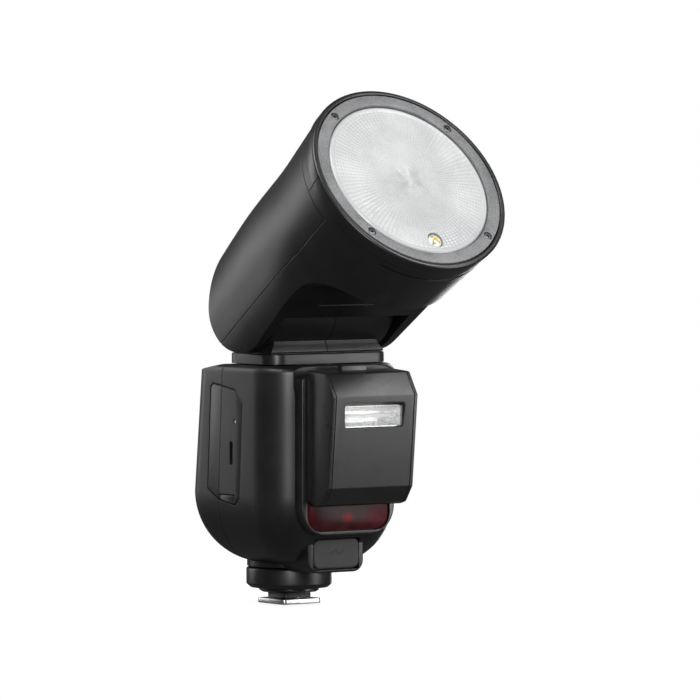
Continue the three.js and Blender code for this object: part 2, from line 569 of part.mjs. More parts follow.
// One ring of the barrel, a rounded section that is a true circle at the front and squarer behind.
function headRing(forward, wall) {
  const radius = HEAD.rimRadius - (HEAD.front - forward) * HEAD.taper - wall;
  const centre = (-HEAD.sag * Math.max(0, forward)) / HEAD.front;
  const upper = 2 + 0.35 * smooth((50 - forward) / 40);
  const lower = 2 + 1.0 * smooth((48 - forward) / 26);
  const ring = [];
  const count = 40;
  for (let i = 0; i < count; i++) {
    const angle = (2 * Math.PI * i) / count;
    const [c, s] = [Math.cos(angle), Math.sin(angle)];
    const power = s < 0 ? lower : upper;
    const reach = radius / Math.pow(Math.abs(c) ** power + Math.abs(s) ** power, 1 / power);
    ring.push(new THREE.Vector3(reach * c, -forward, centre + reach * s));
  }
  return ring;
}

function barrel(wall, from, to) {
  const steps = 5;
  const rings = [];
  for (let i = 0; i <= steps; i++) rings.push(headRing(from + ((to - from) * i) / steps, wall));
  return loft(rings);
}

// The head seen from its side, in (-forward, up): round ears, a slanted upper back and the scoop below.
function sideOutline() {
  const r = HEAD.earRadius;
  const slant = THREE.MathUtils.degToRad(30);
  const outline = new THREE.Shape();
  outline.moveTo(-(HEAD.scoopWall - HEAD.scoopRadius), -r);
  outline.lineTo(0, -r);
  outline.absarc(0, 0, r, -Math.PI / 2, slant, false);
  outline.lineTo(r * Math.cos(slant) - 48 * Math.sin(slant), r * Math.sin(slant) + 48 * Math.cos(slant));
  outline.lineTo(-100, 70);
  outline.lineTo(-100, -60);
  outline.lineTo(-HEAD.scoopWall, -60);
  const floor = -r - HEAD.scoopRadius;
  outline.absarc(-(HEAD.scoopWall - HEAD.scoopRadius), floor, HEAD.scoopRadius, Math.PI, Math.PI / 2, true);
  return outline;
}

function headInside() {
  const outline = polygon([[-20, -18], [-37, -18], [-46, -22.6], [-52, -33], [-52, -60], [-100, -60],
    [-100, 60], [-14, 60], [5.1, 27], [-6, 24], [-20, 24]]);
  return common(barrel(WALL, -26, 79), prism(outline, "x", -60, 60));
}

function hingeSlot() {
  const half = HEAD.earInner;
  const drumRoom = rod("x", 20.7, -half, half, 0, 0, 40);
  const opening = block([-half, half], [-16.6, 30], [-40, -13]);
  const wideRoom = rod("x", 24.6, -24.6, 24.6, 0, 0, 40);
  const rearNotch = common(wideRoom, block([-half, half], [7.5, 30], [-13, 30]));
  const frontRoom = rod("x", 23.8, -half, half, 0, 0, 40);
  const frameRoom = common(frontRoom, block([-half, half], [-40, -9], [-15.8, 24]));
  return join(drumRoom, opening, frameRoom, rearNotch);
}

const COVER_EDGE = [[-100, -15], [30, -6.4]]; // lower edge of the top cover, in (-forward, up)
function aboveCoverEdge(offset, from) {
  const [[ya, za], [yb, zb]] = COVER_EDGE;
  const edge = (y) => za + ((zb - za) * (y - ya)) / (yb - ya) + offset;
  return prism(polygon([[from, edge(from)], [40, edge(40)], [40, 80], [from, 80]]), "x", -60, 60);
}

function addHeadShells() {
  const outer = common(barrel(0, -26, HEAD.shellEnd), prism(sideOutline(), "x", -60, 60, 8));
  const axleBore = rod("x", AXLE.bore, -31.8, 31.8, 0, 0, 20);
  const releaseHole = rod("x", RELEASE.radius + 0.4, 30, 60, RELEASE.y, RELEASE.z, 20);
  const shell = cut(outer, headInside(), hingeSlot(), axleBore, releaseHole);
  const coverPart = aboveCoverEdge(GAP / 2, -HEAD.collar + GAP / 2);
  const coverCut = aboveCoverEdge(-GAP / 2, -HEAD.collar - GAP / 2);
  const collarPart = block([-60, 60], [-100, -HEAD.collar - GAP / 2], [GAP / 2, 60]);
  const collarCut = block([-60, 60], [-100, -HEAD.collar - GAP / 2], [-GAP / 2, 60]);
  add("head_top_cover", common(shell, coverPart), "shell", head);
  add("head_collar_top", common(shell, collarPart), "shell", head);
  add("head_lower_shell", cut(shell, coverCut, collarCut, groove()), "shell", head);
}

// A shallow groove round the underside, just behind the rim.
function groove() {
  const { rimRadius: radius, collar } = HEAD;
  const [rear, front] = [collar + 0.2, collar + 1.8];
  const band = [[radius - 1.4, rear], [radius + 6, rear], [radius + 6, front], [radius - 1.4, front]];
  const wedge = polygon([[0, 0], [-54, -80], [54, -80]]);
  return common(turnedForward(band, 40, 0, -HEAD.sag), prism(wedge, "y", -100, 0));
}

function addHeadFront() {
  const centre = -HEAD.sag;
  const { rimRadius: r, front } = HEAD;
  const rim = turnedForward([[r - 2.1, 75.9], [r - 0.1, 75.9], [r, 76.4], [r, front - 0.8], [r - 0.5, front],
    [r - 1.6, front], [r - 2.1, front - 0.5]], 48, 0, centre);
  add("rim_ring", rim, "satin", head);
  addBezel(centre);
  const edge = BEZEL.inner - GAP;
  const lensProfile = [[0, 77.4], [edge, 77.4], [edge, 79.8], [edge - 0.9, 80.3], [0, 80.7]];
  const lamp = { z: -29.6, radius: 3.1 };
  const lampHole = rod("y", lamp.radius + GAP, -90, -60, 0, lamp.z, 24);
  add("front_lens", cut(turnedForward(lensProfile, 48, 0, centre), lampHole), "lens", head);
  const lampBase = rod("y", 3.8, -74.2, -72.4, 0, lamp.z, 24);
  const dome = turnedForward([[0, 74], [lamp.radius, 74], [lamp.radius, 79.2], [2.2, 80.3], [0, 80.7]], 24,
    0, lamp.z);
  add("modelling_light", join(lampBase, dome), "lens", head);
  const { radius, y, z } = RELEASE;
  const button = join(rod("x", radius, 32.4, 36.2, y, z, 20), rod("x", 1.4, 32.2, 32.6, y, z, 12));
  add("head_release_button", button, "satin", head);
}

function addBezel(centre) {
  const { inner, outer, front, back, screwCircle } = BEZEL;
  const ring = turnedForward([[inner, back], [outer, back], [outer, front - 0.3], [outer - 0.3, front],
    [inner + 0.6, front], [inner, front - 0.8]], 48, 0, centre);
  const { head: headRadius, shank, angles } = BEZEL_SCREWS;
  const places = angles.map((degrees) => {
    const angle = THREE.MathUtils.degToRad(degrees);
    return [screwCircle * Math.cos(angle), centre + screwCircle * Math.sin(angle)];
  });
  const seatDepth = back + 1.6;
  const holes = places.flatMap(([x, z]) => [
    rod("y", headRadius + GAP, -90, -seatDepth, x, z, 10),
    rod("y", shank + GAP, -90, -60, x, z, 10),
  ]);
  add("lens_bezel", cut(ring, ...holes), "satin", head);
  places.forEach(([x, z], index) => {
    const screwHead = rod("y", headRadius, 0.15 - front, -seatDepth - GAP, x, z, 16);
    const body = join(screwHead, rod("y", shank, -seatDepth - 0.4, 0.2 - back, x, z, 10));
    const slotDepth = [-90, 0.8 - front];
    const cross = join(block([x - 0.9, x + 0.9], slotDepth, [z - 0.2, z + 0.2]),
      block([x - 0.2, x + 0.2], slotDepth, [z - 0.9, z + 0.9]));
    add(`bezel_screw_${index + 1}`, cut(body, cross), "dark_steel", head);
  });
}

function addHeadInside() {
  const half = HEAD.earInner - GAP;
  const cheek = 1.6;
  const sides = [[-half, cheek - half], [half - cheek, half]];
  const ears = sides.map((range) => {
    const disc = rod("x", 17, ...range, 0, 0, 24);
    return join(disc, block(range, [-23.4, -8], [-10, 10]));
  });
  const curved = cut(rod("x", 23.5, -half, half, 0, 0, 40), rod("x", 21.3, -60, 60, 0, 0, 40));
  const sheet = common(curved, block([-half, half], [-40, -9.4], [-15.5, 23]));
  const axleBore = rod("x", AXLE.bore, -60, 60, 0, 0, 20);
  const frame = common(cut(join(sheet, ...ears), axleBore), barrel(WALL + GAP, -20, 40));
  add("head_frame", frame, "satin", head);
  addZoom();
}

function addZoom() {
  const { z, rear } = ZOOM;
  const mouth = rear + 18;
  const bowlProfile = [[4, rear], [15, rear], [26, mouth], [24.6, mouth], [13.6, rear + 2], [4, rear + 2]];
  const bowl = turnedForward(bowlProfile, 24);
  const nutBlock = block([-4, 4], [0.4 - mouth, 5 - mouth], [22, z + 4]);
  const nut = cut(nutBlock, rod("y", 1.8, -90, 0, 0, z, 16));
  const clear = mouth + 12;
  const insideProfile = [[0, rear + 2.2], [13.4, rear + 2.2], [24.5, mouth], [24.5, clear], [0, clear]];
  const inside = turnedForward(insideProfile, 24);
  add("zoom_reflector", join(bowl, cut(nut, inside)), "mirror", head);
  const loop = new THREE.TorusGeometry(8, 1.5, 6, 20);
  loop.rotateX(Math.PI / 2);
  loop.translate(0, -rear - 5.4, 0);
  add("flash_tube", solid(loop), "lens", head);
  const screw = join(rod("y", 1.4, -72, -38.5, 0, z, 14), rod("y", 2.2, -39.6, -38.4, 0, z, 14));
  add("zoom_screw", screw, "brass", head);
  add("zoom_motor", rod("y", 4.5, -38, -28.4, 0, z, 20), "steel", head);
}

addBody();
addFrontFascia();
addPort();
addBattery();
addRearControls();
addBodyInside();
addFoot();
addLock();
addSmallFlash();
addSwivel();
addHeadShells();
addHeadFront();
addHeadInside();

export default flash;
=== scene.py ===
import json
from math import asin, cos, pi, radians, sin, sqrt, tan

import bmesh
import bpy
from mathutils import Matrix, Vector

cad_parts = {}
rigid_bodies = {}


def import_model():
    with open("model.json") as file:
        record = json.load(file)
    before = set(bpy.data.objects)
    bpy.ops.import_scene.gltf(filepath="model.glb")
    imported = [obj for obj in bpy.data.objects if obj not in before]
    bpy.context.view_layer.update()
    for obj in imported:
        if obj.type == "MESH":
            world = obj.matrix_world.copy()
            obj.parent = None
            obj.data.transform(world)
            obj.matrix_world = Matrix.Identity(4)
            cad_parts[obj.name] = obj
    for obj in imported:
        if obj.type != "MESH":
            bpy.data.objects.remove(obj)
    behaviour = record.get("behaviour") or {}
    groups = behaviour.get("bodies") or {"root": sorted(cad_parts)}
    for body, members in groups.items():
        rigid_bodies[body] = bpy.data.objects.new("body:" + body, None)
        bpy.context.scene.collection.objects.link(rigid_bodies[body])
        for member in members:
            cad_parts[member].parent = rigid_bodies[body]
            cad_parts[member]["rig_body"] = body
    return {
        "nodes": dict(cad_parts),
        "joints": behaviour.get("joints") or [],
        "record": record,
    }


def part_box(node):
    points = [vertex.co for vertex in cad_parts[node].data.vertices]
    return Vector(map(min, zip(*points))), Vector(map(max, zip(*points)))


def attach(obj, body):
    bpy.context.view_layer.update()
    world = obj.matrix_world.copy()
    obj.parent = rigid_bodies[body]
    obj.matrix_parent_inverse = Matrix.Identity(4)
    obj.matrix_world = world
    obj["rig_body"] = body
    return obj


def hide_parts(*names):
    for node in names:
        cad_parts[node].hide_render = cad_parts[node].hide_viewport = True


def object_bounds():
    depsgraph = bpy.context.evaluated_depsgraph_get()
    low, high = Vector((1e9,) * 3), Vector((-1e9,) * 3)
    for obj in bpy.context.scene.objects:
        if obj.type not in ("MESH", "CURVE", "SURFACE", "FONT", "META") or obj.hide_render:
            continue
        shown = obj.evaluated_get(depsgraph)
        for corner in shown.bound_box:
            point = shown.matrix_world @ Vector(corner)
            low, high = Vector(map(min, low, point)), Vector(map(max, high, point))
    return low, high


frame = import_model()
cad_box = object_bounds()

# ---- places and driving dimensions, in millimetres, from the frame where it holds them ----
MM = 0.001
GAP = 0.3  # clearance between neighbouring pieces
joints = {joint["name"]: joint for joint in frame["joints"]}
slots = {part["node"]: part["material_slot"] for part in frame["record"]["subparts"]}


def local_frame(origin, y_axis):
    """Millimetres in a part's own upright axes, turned about X, to metres in the shared frame."""
    x_axis = Vector((1, 0, 0))
    y_axis = Vector(y_axis).normalized()
    turn = Matrix((x_axis, y_axis, x_axis.cross(y_axis))).transposed().to_4x4()
    return Matrix.Translation(Vector(origin)) @ turn @ Matrix.Scale(MM, 4)


WORLD = local_frame((0, 0, 0), (0, 1, 0))
HEAD = local_frame(joints["head_tilt"]["pos_m"], -Vector(joints["zoom_slide"]["axis"]))
PANEL = local_frame(joints["control_dial_turn"]["pos_m"], joints["control_dial_turn"]["axis"])


def span(node, local=WORLD):
    """Lowest and highest corner of a CAD node in a part's own axes, in millimetres."""
    inverse = local.inverted()
    points = [inverse @ vertex.co for vertex in frame["nodes"][node].data.vertices]
    low = Vector([min(p[axis] for p in points) for axis in range(3)])
    high = Vector([max(p[axis] for p in points) for axis in range(3)])
    return low, high


def turned_part(node):
    """The radius of a turned part of the head, and how far forward its front and its back are."""
    low, high = span(node, HEAD)
    return (high.x - low.x) / 2, -low.y, -high.y


RIM_RADIUS, RIM_FRONT, RIM_BACK = turned_part("rim_ring")
BEZEL_RADIUS, BEZEL_FRONT, BEZEL_BACK = turned_part("lens_bezel")
LENS_RADIUS, LENS_FRONT, LENS_BACK = turned_part("front_lens")
# How far the rim's centre lies below the tilt axis.
SAG = -sum(corner.z for corner in span("rim_ring", HEAD)) / 2
SHELL_END = -span("head_lower_shell", HEAD)[0].y  # front edge of the barrel, behind the rim
COLLAR = -span("head_top_cover", HEAD)[0].y + GAP / 2  # front edge of the top cover
TAPER = tan(radians(4.5))
EAR_RADIUS = 20.5
EAR_INNER = 29.6
SCOOP_WALL = 49.5
SCOOP_RADIUS = 13.5
WALL = 2.4
AXLE_BORE = 4.3
DRUM_HALF = span("hinge_drum_right")[1].x
PIVOT_Y = joints["head_tilt"]["pos_m"][1] / MM
PIVOT_Z = joints["head_tilt"]["pos_m"][2] / MM

body_low, body_high = span("body_front_shell")
HALF_WIDTH = body_high.x
BODY_FRONT = body_low.y
BODY_TOP = body_high.z
BODY_BACK = joints["control_dial_turn"]["pos_m"][1] / MM
DEEPEST = joints["control_dial_turn"]["pos_m"][2] / MM
BACK_LEAN = tan(asin(joints["control_dial_turn"]["axis"][2]))
BODY_BOTTOM = 17.0
BOTTOM_INSET = 19.5
TOP_ROUND = 3  # rounding of the edge of the body's top
FRONT_RADIUS = 16.0
BACK_RADIUS = 9.0
LEAN = tan(radians(3.2))
PARTING_Y = 1.0
PARTING_Z = 69.0
RECESS_HALF = 22.3
RECESS_FLOOR = -35.0
RECESS_BOTTOM = 28.3
RECESS_TOP = 89.4
RECESS_ROUND = 7.0

# ---- solids: making, joining and cutting ----
scraps = []
SIDES = 96  # steps round a large circle


def placed(name, data):
    """A new object that holds this data, in the scene."""
    made = bpy.data.objects.new(name, data)
    bpy.context.scene.collection.objects.link(made)
    return made


def scrap(mesh):
    """A working shape, removed at the end."""
    shape = placed("shape", mesh)
    scraps.append(shape)
    return shape


def solid(vertices, faces):
    """A closed mesh object with its faces pointing out."""
    mesh = bpy.data.meshes.new("shape")
    mesh.from_pydata([tuple(v) for v in vertices], [], faces)
    work = bmesh.new()
    work.from_mesh(mesh)
    bmesh.ops.remove_doubles(work, verts=work.verts, dist=1e-5)
    bmesh.ops.recalc_face_normals(work, faces=work.faces)
    if work.calc_volume(signed=True) < 0:
        bmesh.ops.reverse_faces(work, faces=work.faces)
    work.to_mesh(mesh)
    work.free()
    return scrap(mesh)


def combine(operation, base, others):
    for other in others:
        step = base.modifiers.new("step", "BOOLEAN")
        step.operation = operation
        step.solver = "MANIFOLD"
        step.object = other
    bpy.context.view_layer.update()
    evaluated = base.evaluated_get(bpy.context.evaluated_depsgraph_get())
    mesh = bpy.data.meshes.new_from_object(evaluated)
    base.modifiers.clear()
    return scrap(mesh)


def join(base, *others):
    return combine("UNION", base, others)


def cut(base, *others):
    return combine("DIFFERENCE", base, others)


def common(base, *others):
    return combine("INTERSECT", base, others)


def along(axis, a, b, depth):
    """A point of an outline, whose own axes are Y and Z, X and Z, or X and Y, at a place along an axis."""
    return {"x": (depth, a, b), "y": (a, depth, b), "z": (a, b, depth)}[axis]


def loft(rings):
    """Skins a stack of rings with equal numbers of points and caps both ends."""
    count = len(rings[0])
    faces = [tuple(range(count)), tuple(range((len(rings) - 1) * count, len(rings) * count))]
    for ring in range(len(rings) - 1):
        for i in range(count):
            a = ring * count + i
            b = ring * count + (i + 1) % count
            faces.append((a, b, b + count, a + count))
    return solid([point for ring in rings for point in ring], faces)


def prism(outline, axis, start, end):
    return loft([[along(axis, a, b, depth) for a, b in outline] for depth in (start, end)])


def inward(outline, amount):
    """The outline moved in by an amount, corner by corner, for outlines with no very sharp corners."""
    count = len(outline)
    area = sum(
        outline[i][0] * outline[(i + 1) % count][1] - outline[(i + 1) % count][0] * outline[i][1]
        for i in range(count)
    )
    side = 1 if area > 0 else -1
    moved = []
    for i, point in enumerate(outline):
        before = (Vector(point) - Vector(outline[i - 1])).normalized()
        after = (Vector(outline[(i + 1) % count]) - Vector(point)).normalized()
        normal = Vector((-before.y - after.y, before.x + after.x))
        if normal.length < 1e-6:
            normal = Vector((-after.y, after.x))
        normal.normalize()
        stretch = 1 / max(0.5, normal.dot(Vector((-after.y, after.x))))
        moved.append(tuple(Vector(point) + normal * side * amount * stretch))
    return moved


def softened(outline, axis, start, end, edge=0.4, steps=3, both=False):
    """A prism whose outline rounds over at its end, and at its start too when both is set."""
    turn = 1 if end > start else -1
    rings = []
    for step in range(steps + 1):
        angle = pi / 2 * step / steps
        rings.append((end - turn * edge * (1 - sin(angle)), edge * (1 - cos(angle))))
    if both:
        rings = [(start + end - depth, inset) for depth, inset in reversed(rings)] + rings
    else:
        rings.insert(0, (start, 0))
    return loft([[along(axis, a, b, d) for a, b in inward(outline, inset)] for d, inset in rings])


def block(x, y, z):
    return prism([(x[0], y[0]), (x[1], y[0]), (x[1], y[1]), (x[0], y[1])], "z", *z)


def circle(radius, a=0.0, b=0.0, sides=32):
    angles = [2 * pi * i / sides for i in range(sides)]
    return [(a + radius * cos(t), b + radius * sin(t)) for t in angles]


def rod(axis, radius, start, end, a=0.0, b=0.0, sides=32):
    return prism(circle(radius, a, b, sides), axis, start, end)


def turned(profile, axis="z", a=0.0, b=0.0, sides=SIDES):
    """Turns a closed profile of (radius, place along the axis) points about an axis."""
    count = len(profile)
    points = []
    for i in range(sides):
        c = cos(2 * pi * i / sides)
        s = sin(2 * pi * i / sides)
        points += [along(axis, a + r * c, b + r * s, depth) for r, depth in profile]
    faces = []
    for i in range(sides):
        for j in range(count):
            first = i * count + j
            second = i * count + (j + 1) % count
            faces.append((first, second, (second + count) % len(points), (first + count) % len(points)))
    return solid(points, faces)


def rounded(points, radii, steps=6):
    """A polygon with its corners rounded, each by its own radius or all by one."""
    count = len(points)
    radii = radii if isinstance(radii, (list, tuple)) else [radii] * count
    outline = []
    for i, radius in enumerate(radii):
        corner = Vector(points[i])
        back = Vector(points[i - 1]) - corner
        ahead = Vector(points[(i + 1) % count]) - corner
        half = back.angle(ahead) / 2
        reach = min(radius / tan(half), back.length * 0.48, ahead.length * 0.48)
        if radius <= 0:
            outline.append(tuple(corner))
            continue
        start = corner + back.normalized() * reach
        end = corner + ahead.normalized() * reach
        centre = corner + (back.normalized() + ahead.normalized()).normalized() * reach / cos(half)
        arm = (start - centre).length
        first = start - centre
        sweep = first.angle_signed(end - centre)
        for step in range(steps + 1):
            turn = -sweep * step / steps
            c = cos(turn)
            s = sin(turn)
            spoke = Vector((first.x * c - first.y * s, first.x * s + first.y * c)).normalized() * arm
            outline.append(tuple(centre + spoke))
    return outline


def rectangle(x0, x1, y0, y1, radii=0.0, steps=6):
    return rounded([(x0, y0), (x1, y0), (x1, y1), (x0, y1)], radii, steps)


def arc(start, end, steps):
    return [start + (end - start) * i / steps for i in range(steps + 1)]


def front_of(low, high, radii=0.0, steps=6, grow=0.0):
    """A box's outline in (X, Z), grown on every side."""
    return rectangle(low.x - grow, high.x + grow, low.z - grow, high.z + grow, radii, steps)


def middle_of(low, high, axes="xz"):
    return tuple((getattr(low, axis) + getattr(high, axis)) / 2 for axis in axes)


def smooth(t):
    k = min(1.0, max(0.0, t))
    return k * k * (3 - 2 * k)


SMOOTH_ANGLE = radians(28)


def show(name, shape, local, material, *nodes, stands=True):
    """Shows a shape as a piece that rides with the first of these CAD nodes and stands for them all."""
    mesh = shape.data.copy()
    mesh.name = name
    mesh.transform(local)
    mesh.materials.clear()
    mesh.materials.append(material)
    for face in mesh.polygons:
        face.use_smooth = True
        face.material_index = 0
    mesh.set_sharp_from_angle(angle=SMOOTH_ANGLE)
    piece = placed(name, mesh)
    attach(piece, frame["nodes"][nodes[0]]["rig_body"])
    if stands:
        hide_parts(*nodes)
    return piece


# ---- materials ----
class Shader:
    """A material's node tree, with a short way to add and link nodes."""

    def __init__(self, name):
        self.material = bpy.data.materials.new(name)
        self.material.use_nodes = True
        self.tree = self.material.node_tree
        self.surface = self.tree.nodes["Principled BSDF"]
        self.place = self.node("TexCoord").outputs["Object"]

    def node(self, kind, inputs=None, **settings):
        made = self.tree.nodes.new("ShaderNode" + kind)
        for key, value in settings.items():
            setattr(made, key, value)
        for key, value in (inputs or {}).items():
            if isinstance(value, bpy.types.NodeSocket):
                self.tree.links.new(value, made.inputs[key])
            else:
                made.inputs[key].default_value = value
        return made

    def set(self, **values):
        for key, value in values.items():
            socket = self.surface.inputs[key.replace("_", " ")]
            if isinstance(value, bpy.types.NodeSocket):
                self.tree.links.new(value, socket)
            else:
                socket.default_value = value

    def vector(self, operation, first, second=(0, 0, 0), output=0):
        inputs = {0: first, 1: second}
        return self.node("VectorMath", inputs, operation=operation).outputs[output]

    def noise(self, size, detail=3.0, roughness=0.6, vector=None):
        """Noise whose grains are about the given size in metres."""
        inputs = {"Vector": vector or self.place, "Scale": 1 / size}
        inputs |= {"Detail": detail, "Roughness": roughness}
        return self.node("TexNoise", inputs).outputs["Fac"]

    def ranged(self, value, low, high, start=0.3, end=0.7):
        inputs = {"Value": value, "From Min": start, "From Max": end, "To Min": low, "To Max": high}
        return self.node("MapRange", inputs).outputs["Result"]

    def blend(self, factor, first, second):
        colours = [c if isinstance(c, bpy.types.NodeSocket) else (*c, 1) for c in (first, second)]
        inputs = {0: factor, 6: colours[0], 7: colours[1]}
        return self.node("Mix", inputs, data_type="RGBA").outputs[2]

    def relief(self, height, distance, edge=0.0003, strength=1.0):
        """A bump on top of a softly rounded edge."""
        bevel = self.node("Bevel", {"Radius": edge}, samples=6).outputs["Normal"]
        inputs = {"Height": height, "Distance": distance, "Strength": strength, "Normal": bevel}
        return self.node("Bump", inputs).outputs["Normal"]


def moulding(name, dark, light, roughness, grain=0.00022, depth=0.00002, edge=0.0003, spread=0.05, speck=0.0):
    """Moulded plastic with a fine etched grain, faint mottling and small changes in gloss."""
    look = Shader(name)
    fine = look.noise(grain, 2.0)
    broad = look.noise(0.012, 4.0)
    mottle = {0: look.ranged(broad, 0, 1), 1: look.ranged(fine, -speck, speck)}
    tone = look.node("Math", mottle, operation="ADD")
    look.set(Base_Color=look.blend(tone.outputs[0], dark, light))
    mixed = look.node("Math", {0: fine, 1: broad}, operation="MULTIPLY_ADD")
    mixed.inputs[2].default_value = 0.25
    look.set(Roughness=look.ranged(mixed.outputs[0], roughness - spread, roughness + spread))
    look.set(Normal=look.relief(fine, depth, edge))
    return look.material


def metal(name, dark, light, roughness, stretch=(1, 1, 14), edge=0.00025):
    """Bare or plated metal with fine brushing along one direction."""
    look = Shader(name)
    lines = look.noise(0.0009, 3.0, vector=look.vector("MULTIPLY", look.place, stretch))
    wear = look.noise(0.004, 4.0)
    look.set(Base_Color=look.blend(look.ranged(wear, 0, 1), dark, light), Metallic=1.0)
    look.set(Roughness=look.ranged(lines, roughness - 0.08, roughness + 0.1))
    look.set(Normal=look.relief(lines, 0.00002, edge))
    return look.material


BLACK = moulding("black_moulding", (0.007, 0.0072, 0.0076), (0.012, 0.0122, 0.0128), 0.37, speck=0.3)
SATIN = moulding("satin_black", (0.009, 0.0092, 0.0098), (0.014, 0.0142, 0.015), 0.3, 0.00016, 0.000008)
BEZEL_GREY = moulding(
    "speckled_grey", (0.1, 0.101, 0.103), (0.22, 0.222, 0.226), 0.42, 0.00034, 0.00003, speck=1.2
)
GLOSS = moulding(
    "gloss_black", (0.006, 0.006, 0.007), (0.01, 0.01, 0.011), 0.12, 0.0004, 0.000002, spread=0.03
)
RUBBER = moulding(
    "soft_rubber", (0.03, 0.03, 0.031), (0.045, 0.045, 0.046), 0.62, 0.00018, 0.00003, speck=0.3
)
STEEL = metal("plated_steel", (0.5, 0.5, 0.51), (0.66, 0.66, 0.67), 0.22)
DARK_STEEL = metal("blackened_steel", (0.09, 0.09, 0.093), (0.16, 0.16, 0.165), 0.34, (1, 1, 1))
GOLD = metal("gold_plating", (0.72, 0.52, 0.2), (0.86, 0.66, 0.32), 0.2, (1, 1, 1))
REFLECTOR = metal("polished_reflector", (0.8, 0.8, 0.79), (0.92, 0.92, 0.91), 0.28, (1, 1, 1))


def red_window(name):
    """Dark red filter with painted patches of light showing through it: a paler patch, redder patches towards
    the ends and a bright red spot over the lamp.
    """
    look = Shader(name)
    low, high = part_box("af_assist_window")
    middle = (low + high) / 2
    lamp = (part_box("af_assist_lamp")[0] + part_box("af_assist_lamp")[1]) / 2

    def painted_light_spot(x, z, radius):
        offset = look.vector("SUBTRACT", look.place, (x, 0, z))
        flat = look.vector("MULTIPLY", offset, (1, 0, 1.4))
        return look.ranged(look.vector("LENGTH", flat, output="Value"), 1, 0, 0, radius)

    cloud = look.noise(0.005, 2.0)
    colour = look.blend(look.ranged(cloud, 0, 1), (0.022, 0.006, 0.007), (0.06, 0.01, 0.012))
    half = (high.x - low.x) / 2
    # Painted light showing through the filter: a paler patch left of the middle, a redder patch near each end
    # and a bright red spot over the lamp.
    for x, z, radius, tint in (
        (middle.x - 0.42 * half, middle.z, 0.008, (0.04, 0.019, 0.018)),
        (middle.x + 0.72 * half, middle.z, 0.009, (0.09, 0.006, 0.01)),
        (middle.x - 0.9 * half, middle.z, 0.006, (0.06, 0.005, 0.008)),
        (lamp.x, lamp.z - 0.001, 0.0034, (0.22, 0.006, 0.01)),
    ):
        colour = look.blend(painted_light_spot(x, z, radius), colour, tint)
    look.set(Base_Color=colour, Roughness=look.ranged(cloud, 0.16, 0.22), Specular_IOR_Level=0.06)
    look.set(Normal=look.relief(cloud, 0.00002))
    return look.material


def clear_plastic(name, tint, roughness, alpha, size, depth):
    """Thin clear plastic, cloudy enough to catch the light, with a fine moulded ripple."""
    look = Shader(name)
    ripple = look.noise(size, 2.0)
    look.set(Base_Color=look.blend(look.ranged(ripple, 0, 1), [c * 0.92 for c in tint], tint))
    look.set(Roughness=look.ranged(ripple, roughness - 0.05, roughness + 0.05), Alpha=alpha)
    look.set(Normal=look.relief(ripple, depth))
    return look.material


def lens_plastic(name):
    """The prismatic front lens: cloudy white, with a faint cloud of brighter and duller plastic."""
    look = Shader(name)
    fine = look.noise(0.0006, 2.0)
    cloud = look.noise(0.02, 3.0)
    look.set(Base_Color=look.blend(look.ranged(cloud, 0, 1), (0.4, 0.408, 0.412), (0.52, 0.527, 0.527)))
    look.set(Roughness=look.ranged(fine, 0.22, 0.36), Alpha=0.97)
    look.set(Normal=look.relief(fine, 0.00002, 0.00005))
    return look.material


def lamp_plastic(name):
    """The modelling light: greenish white plastic, rings of light and shade, and an orange chip."""
    look = Shader(name)
    low, high = span("modelling_light", HEAD)
    middle = HEAD @ ((low + high) / 2)
    forward = (HEAD.to_3x3() @ Vector((0, -1, 0))).normalized()
    offset = look.vector("SUBTRACT", look.place, middle)
    across = look.vector("CROSS_PRODUCT", offset, forward)
    away = look.vector("LENGTH", across, output="Value")
    cloud = look.noise(0.0011, 2.0)
    colour = look.blend(look.ranged(cloud, 0, 1, 0.42, 0.6), (0.3, 0.32, 0.22), (0.86, 0.92, 0.72))
    colour = look.blend(look.ranged(away, 1, 0, 0.0009, 0.0013), colour, (0.75, 0.36, 0.08))
    colour = look.blend(look.ranged(away, 0, 1, 0.0027, 0.0031), colour, (0.5, 0.52, 0.42))
    look.set(Base_Color=colour, Roughness=look.ranged(cloud, 0.06, 0.16), Coat_Weight=0.8)
    look.set(Normal=look.relief(cloud, 0.00008))
    return look.material


def circuit_board(name):
    """Green board with paler copper tracks."""
    look = Shader(name)
    tracks = look.node("TexBrick", {"Vector": look.place, "Scale": 160.0, "Mortar Size": 0.03})
    tracks.inputs["Color1"].default_value = (0.012, 0.08, 0.035, 1)
    tracks.inputs["Color2"].default_value = (0.016, 0.1, 0.045, 1)
    tracks.inputs["Mortar"].default_value = (0.04, 0.2, 0.1, 1)
    look.set(Base_Color=tracks.outputs["Color"], Roughness=look.ranged(look.noise(0.001), 0.3, 0.45))
    look.set(Normal=look.relief(tracks.outputs["Fac"], -0.00004))
    return look.material


RED = red_window("red_filter")
DISPLAY = moulding("display_marks", (0.3, 0.42, 0.4), (0.42, 0.55, 0.52), 0.4, 0.0005, 0.000003)
LENS = lens_plastic("prismatic_lens")
CLEAR = clear_plastic("clear_plastic", (0.86, 0.88, 0.88), 0.14, 0.15, 0.0008, 0.00001)
TUBE = clear_plastic("tube_glass", (0.9, 0.92, 0.92), 0.1, 0.6, 0.002, 0.00001)
LAMP = lamp_plastic("lamp_dome")
BOARD = circuit_board("circuit_board")

# ---- head: barrel shells ----
RING_POINTS = 176


def head_ring(forward, wall):
    """A rounded section of the barrel: a true circle at the front and squarer behind."""
    radius = RIM_RADIUS - (RIM_FRONT - forward) * TAPER - wall
    centre = -SAG * max(0, forward) / RIM_FRONT
    upper = 2 + 0.35 * smooth((50 - forward) / 40)
    lower = 2 + smooth((48 - forward) / 26)
    ring = []
    for i in range(RING_POINTS):
        angle = 2 * pi * i / RING_POINTS
        c = cos(angle)
        s = sin(angle)
        power = lower if s < 0 else upper
        reach = radius / (abs(c) ** power + abs(s) ** power) ** (1 / power)
        ring.append((reach * c, -forward, centre + reach * s))
    return ring


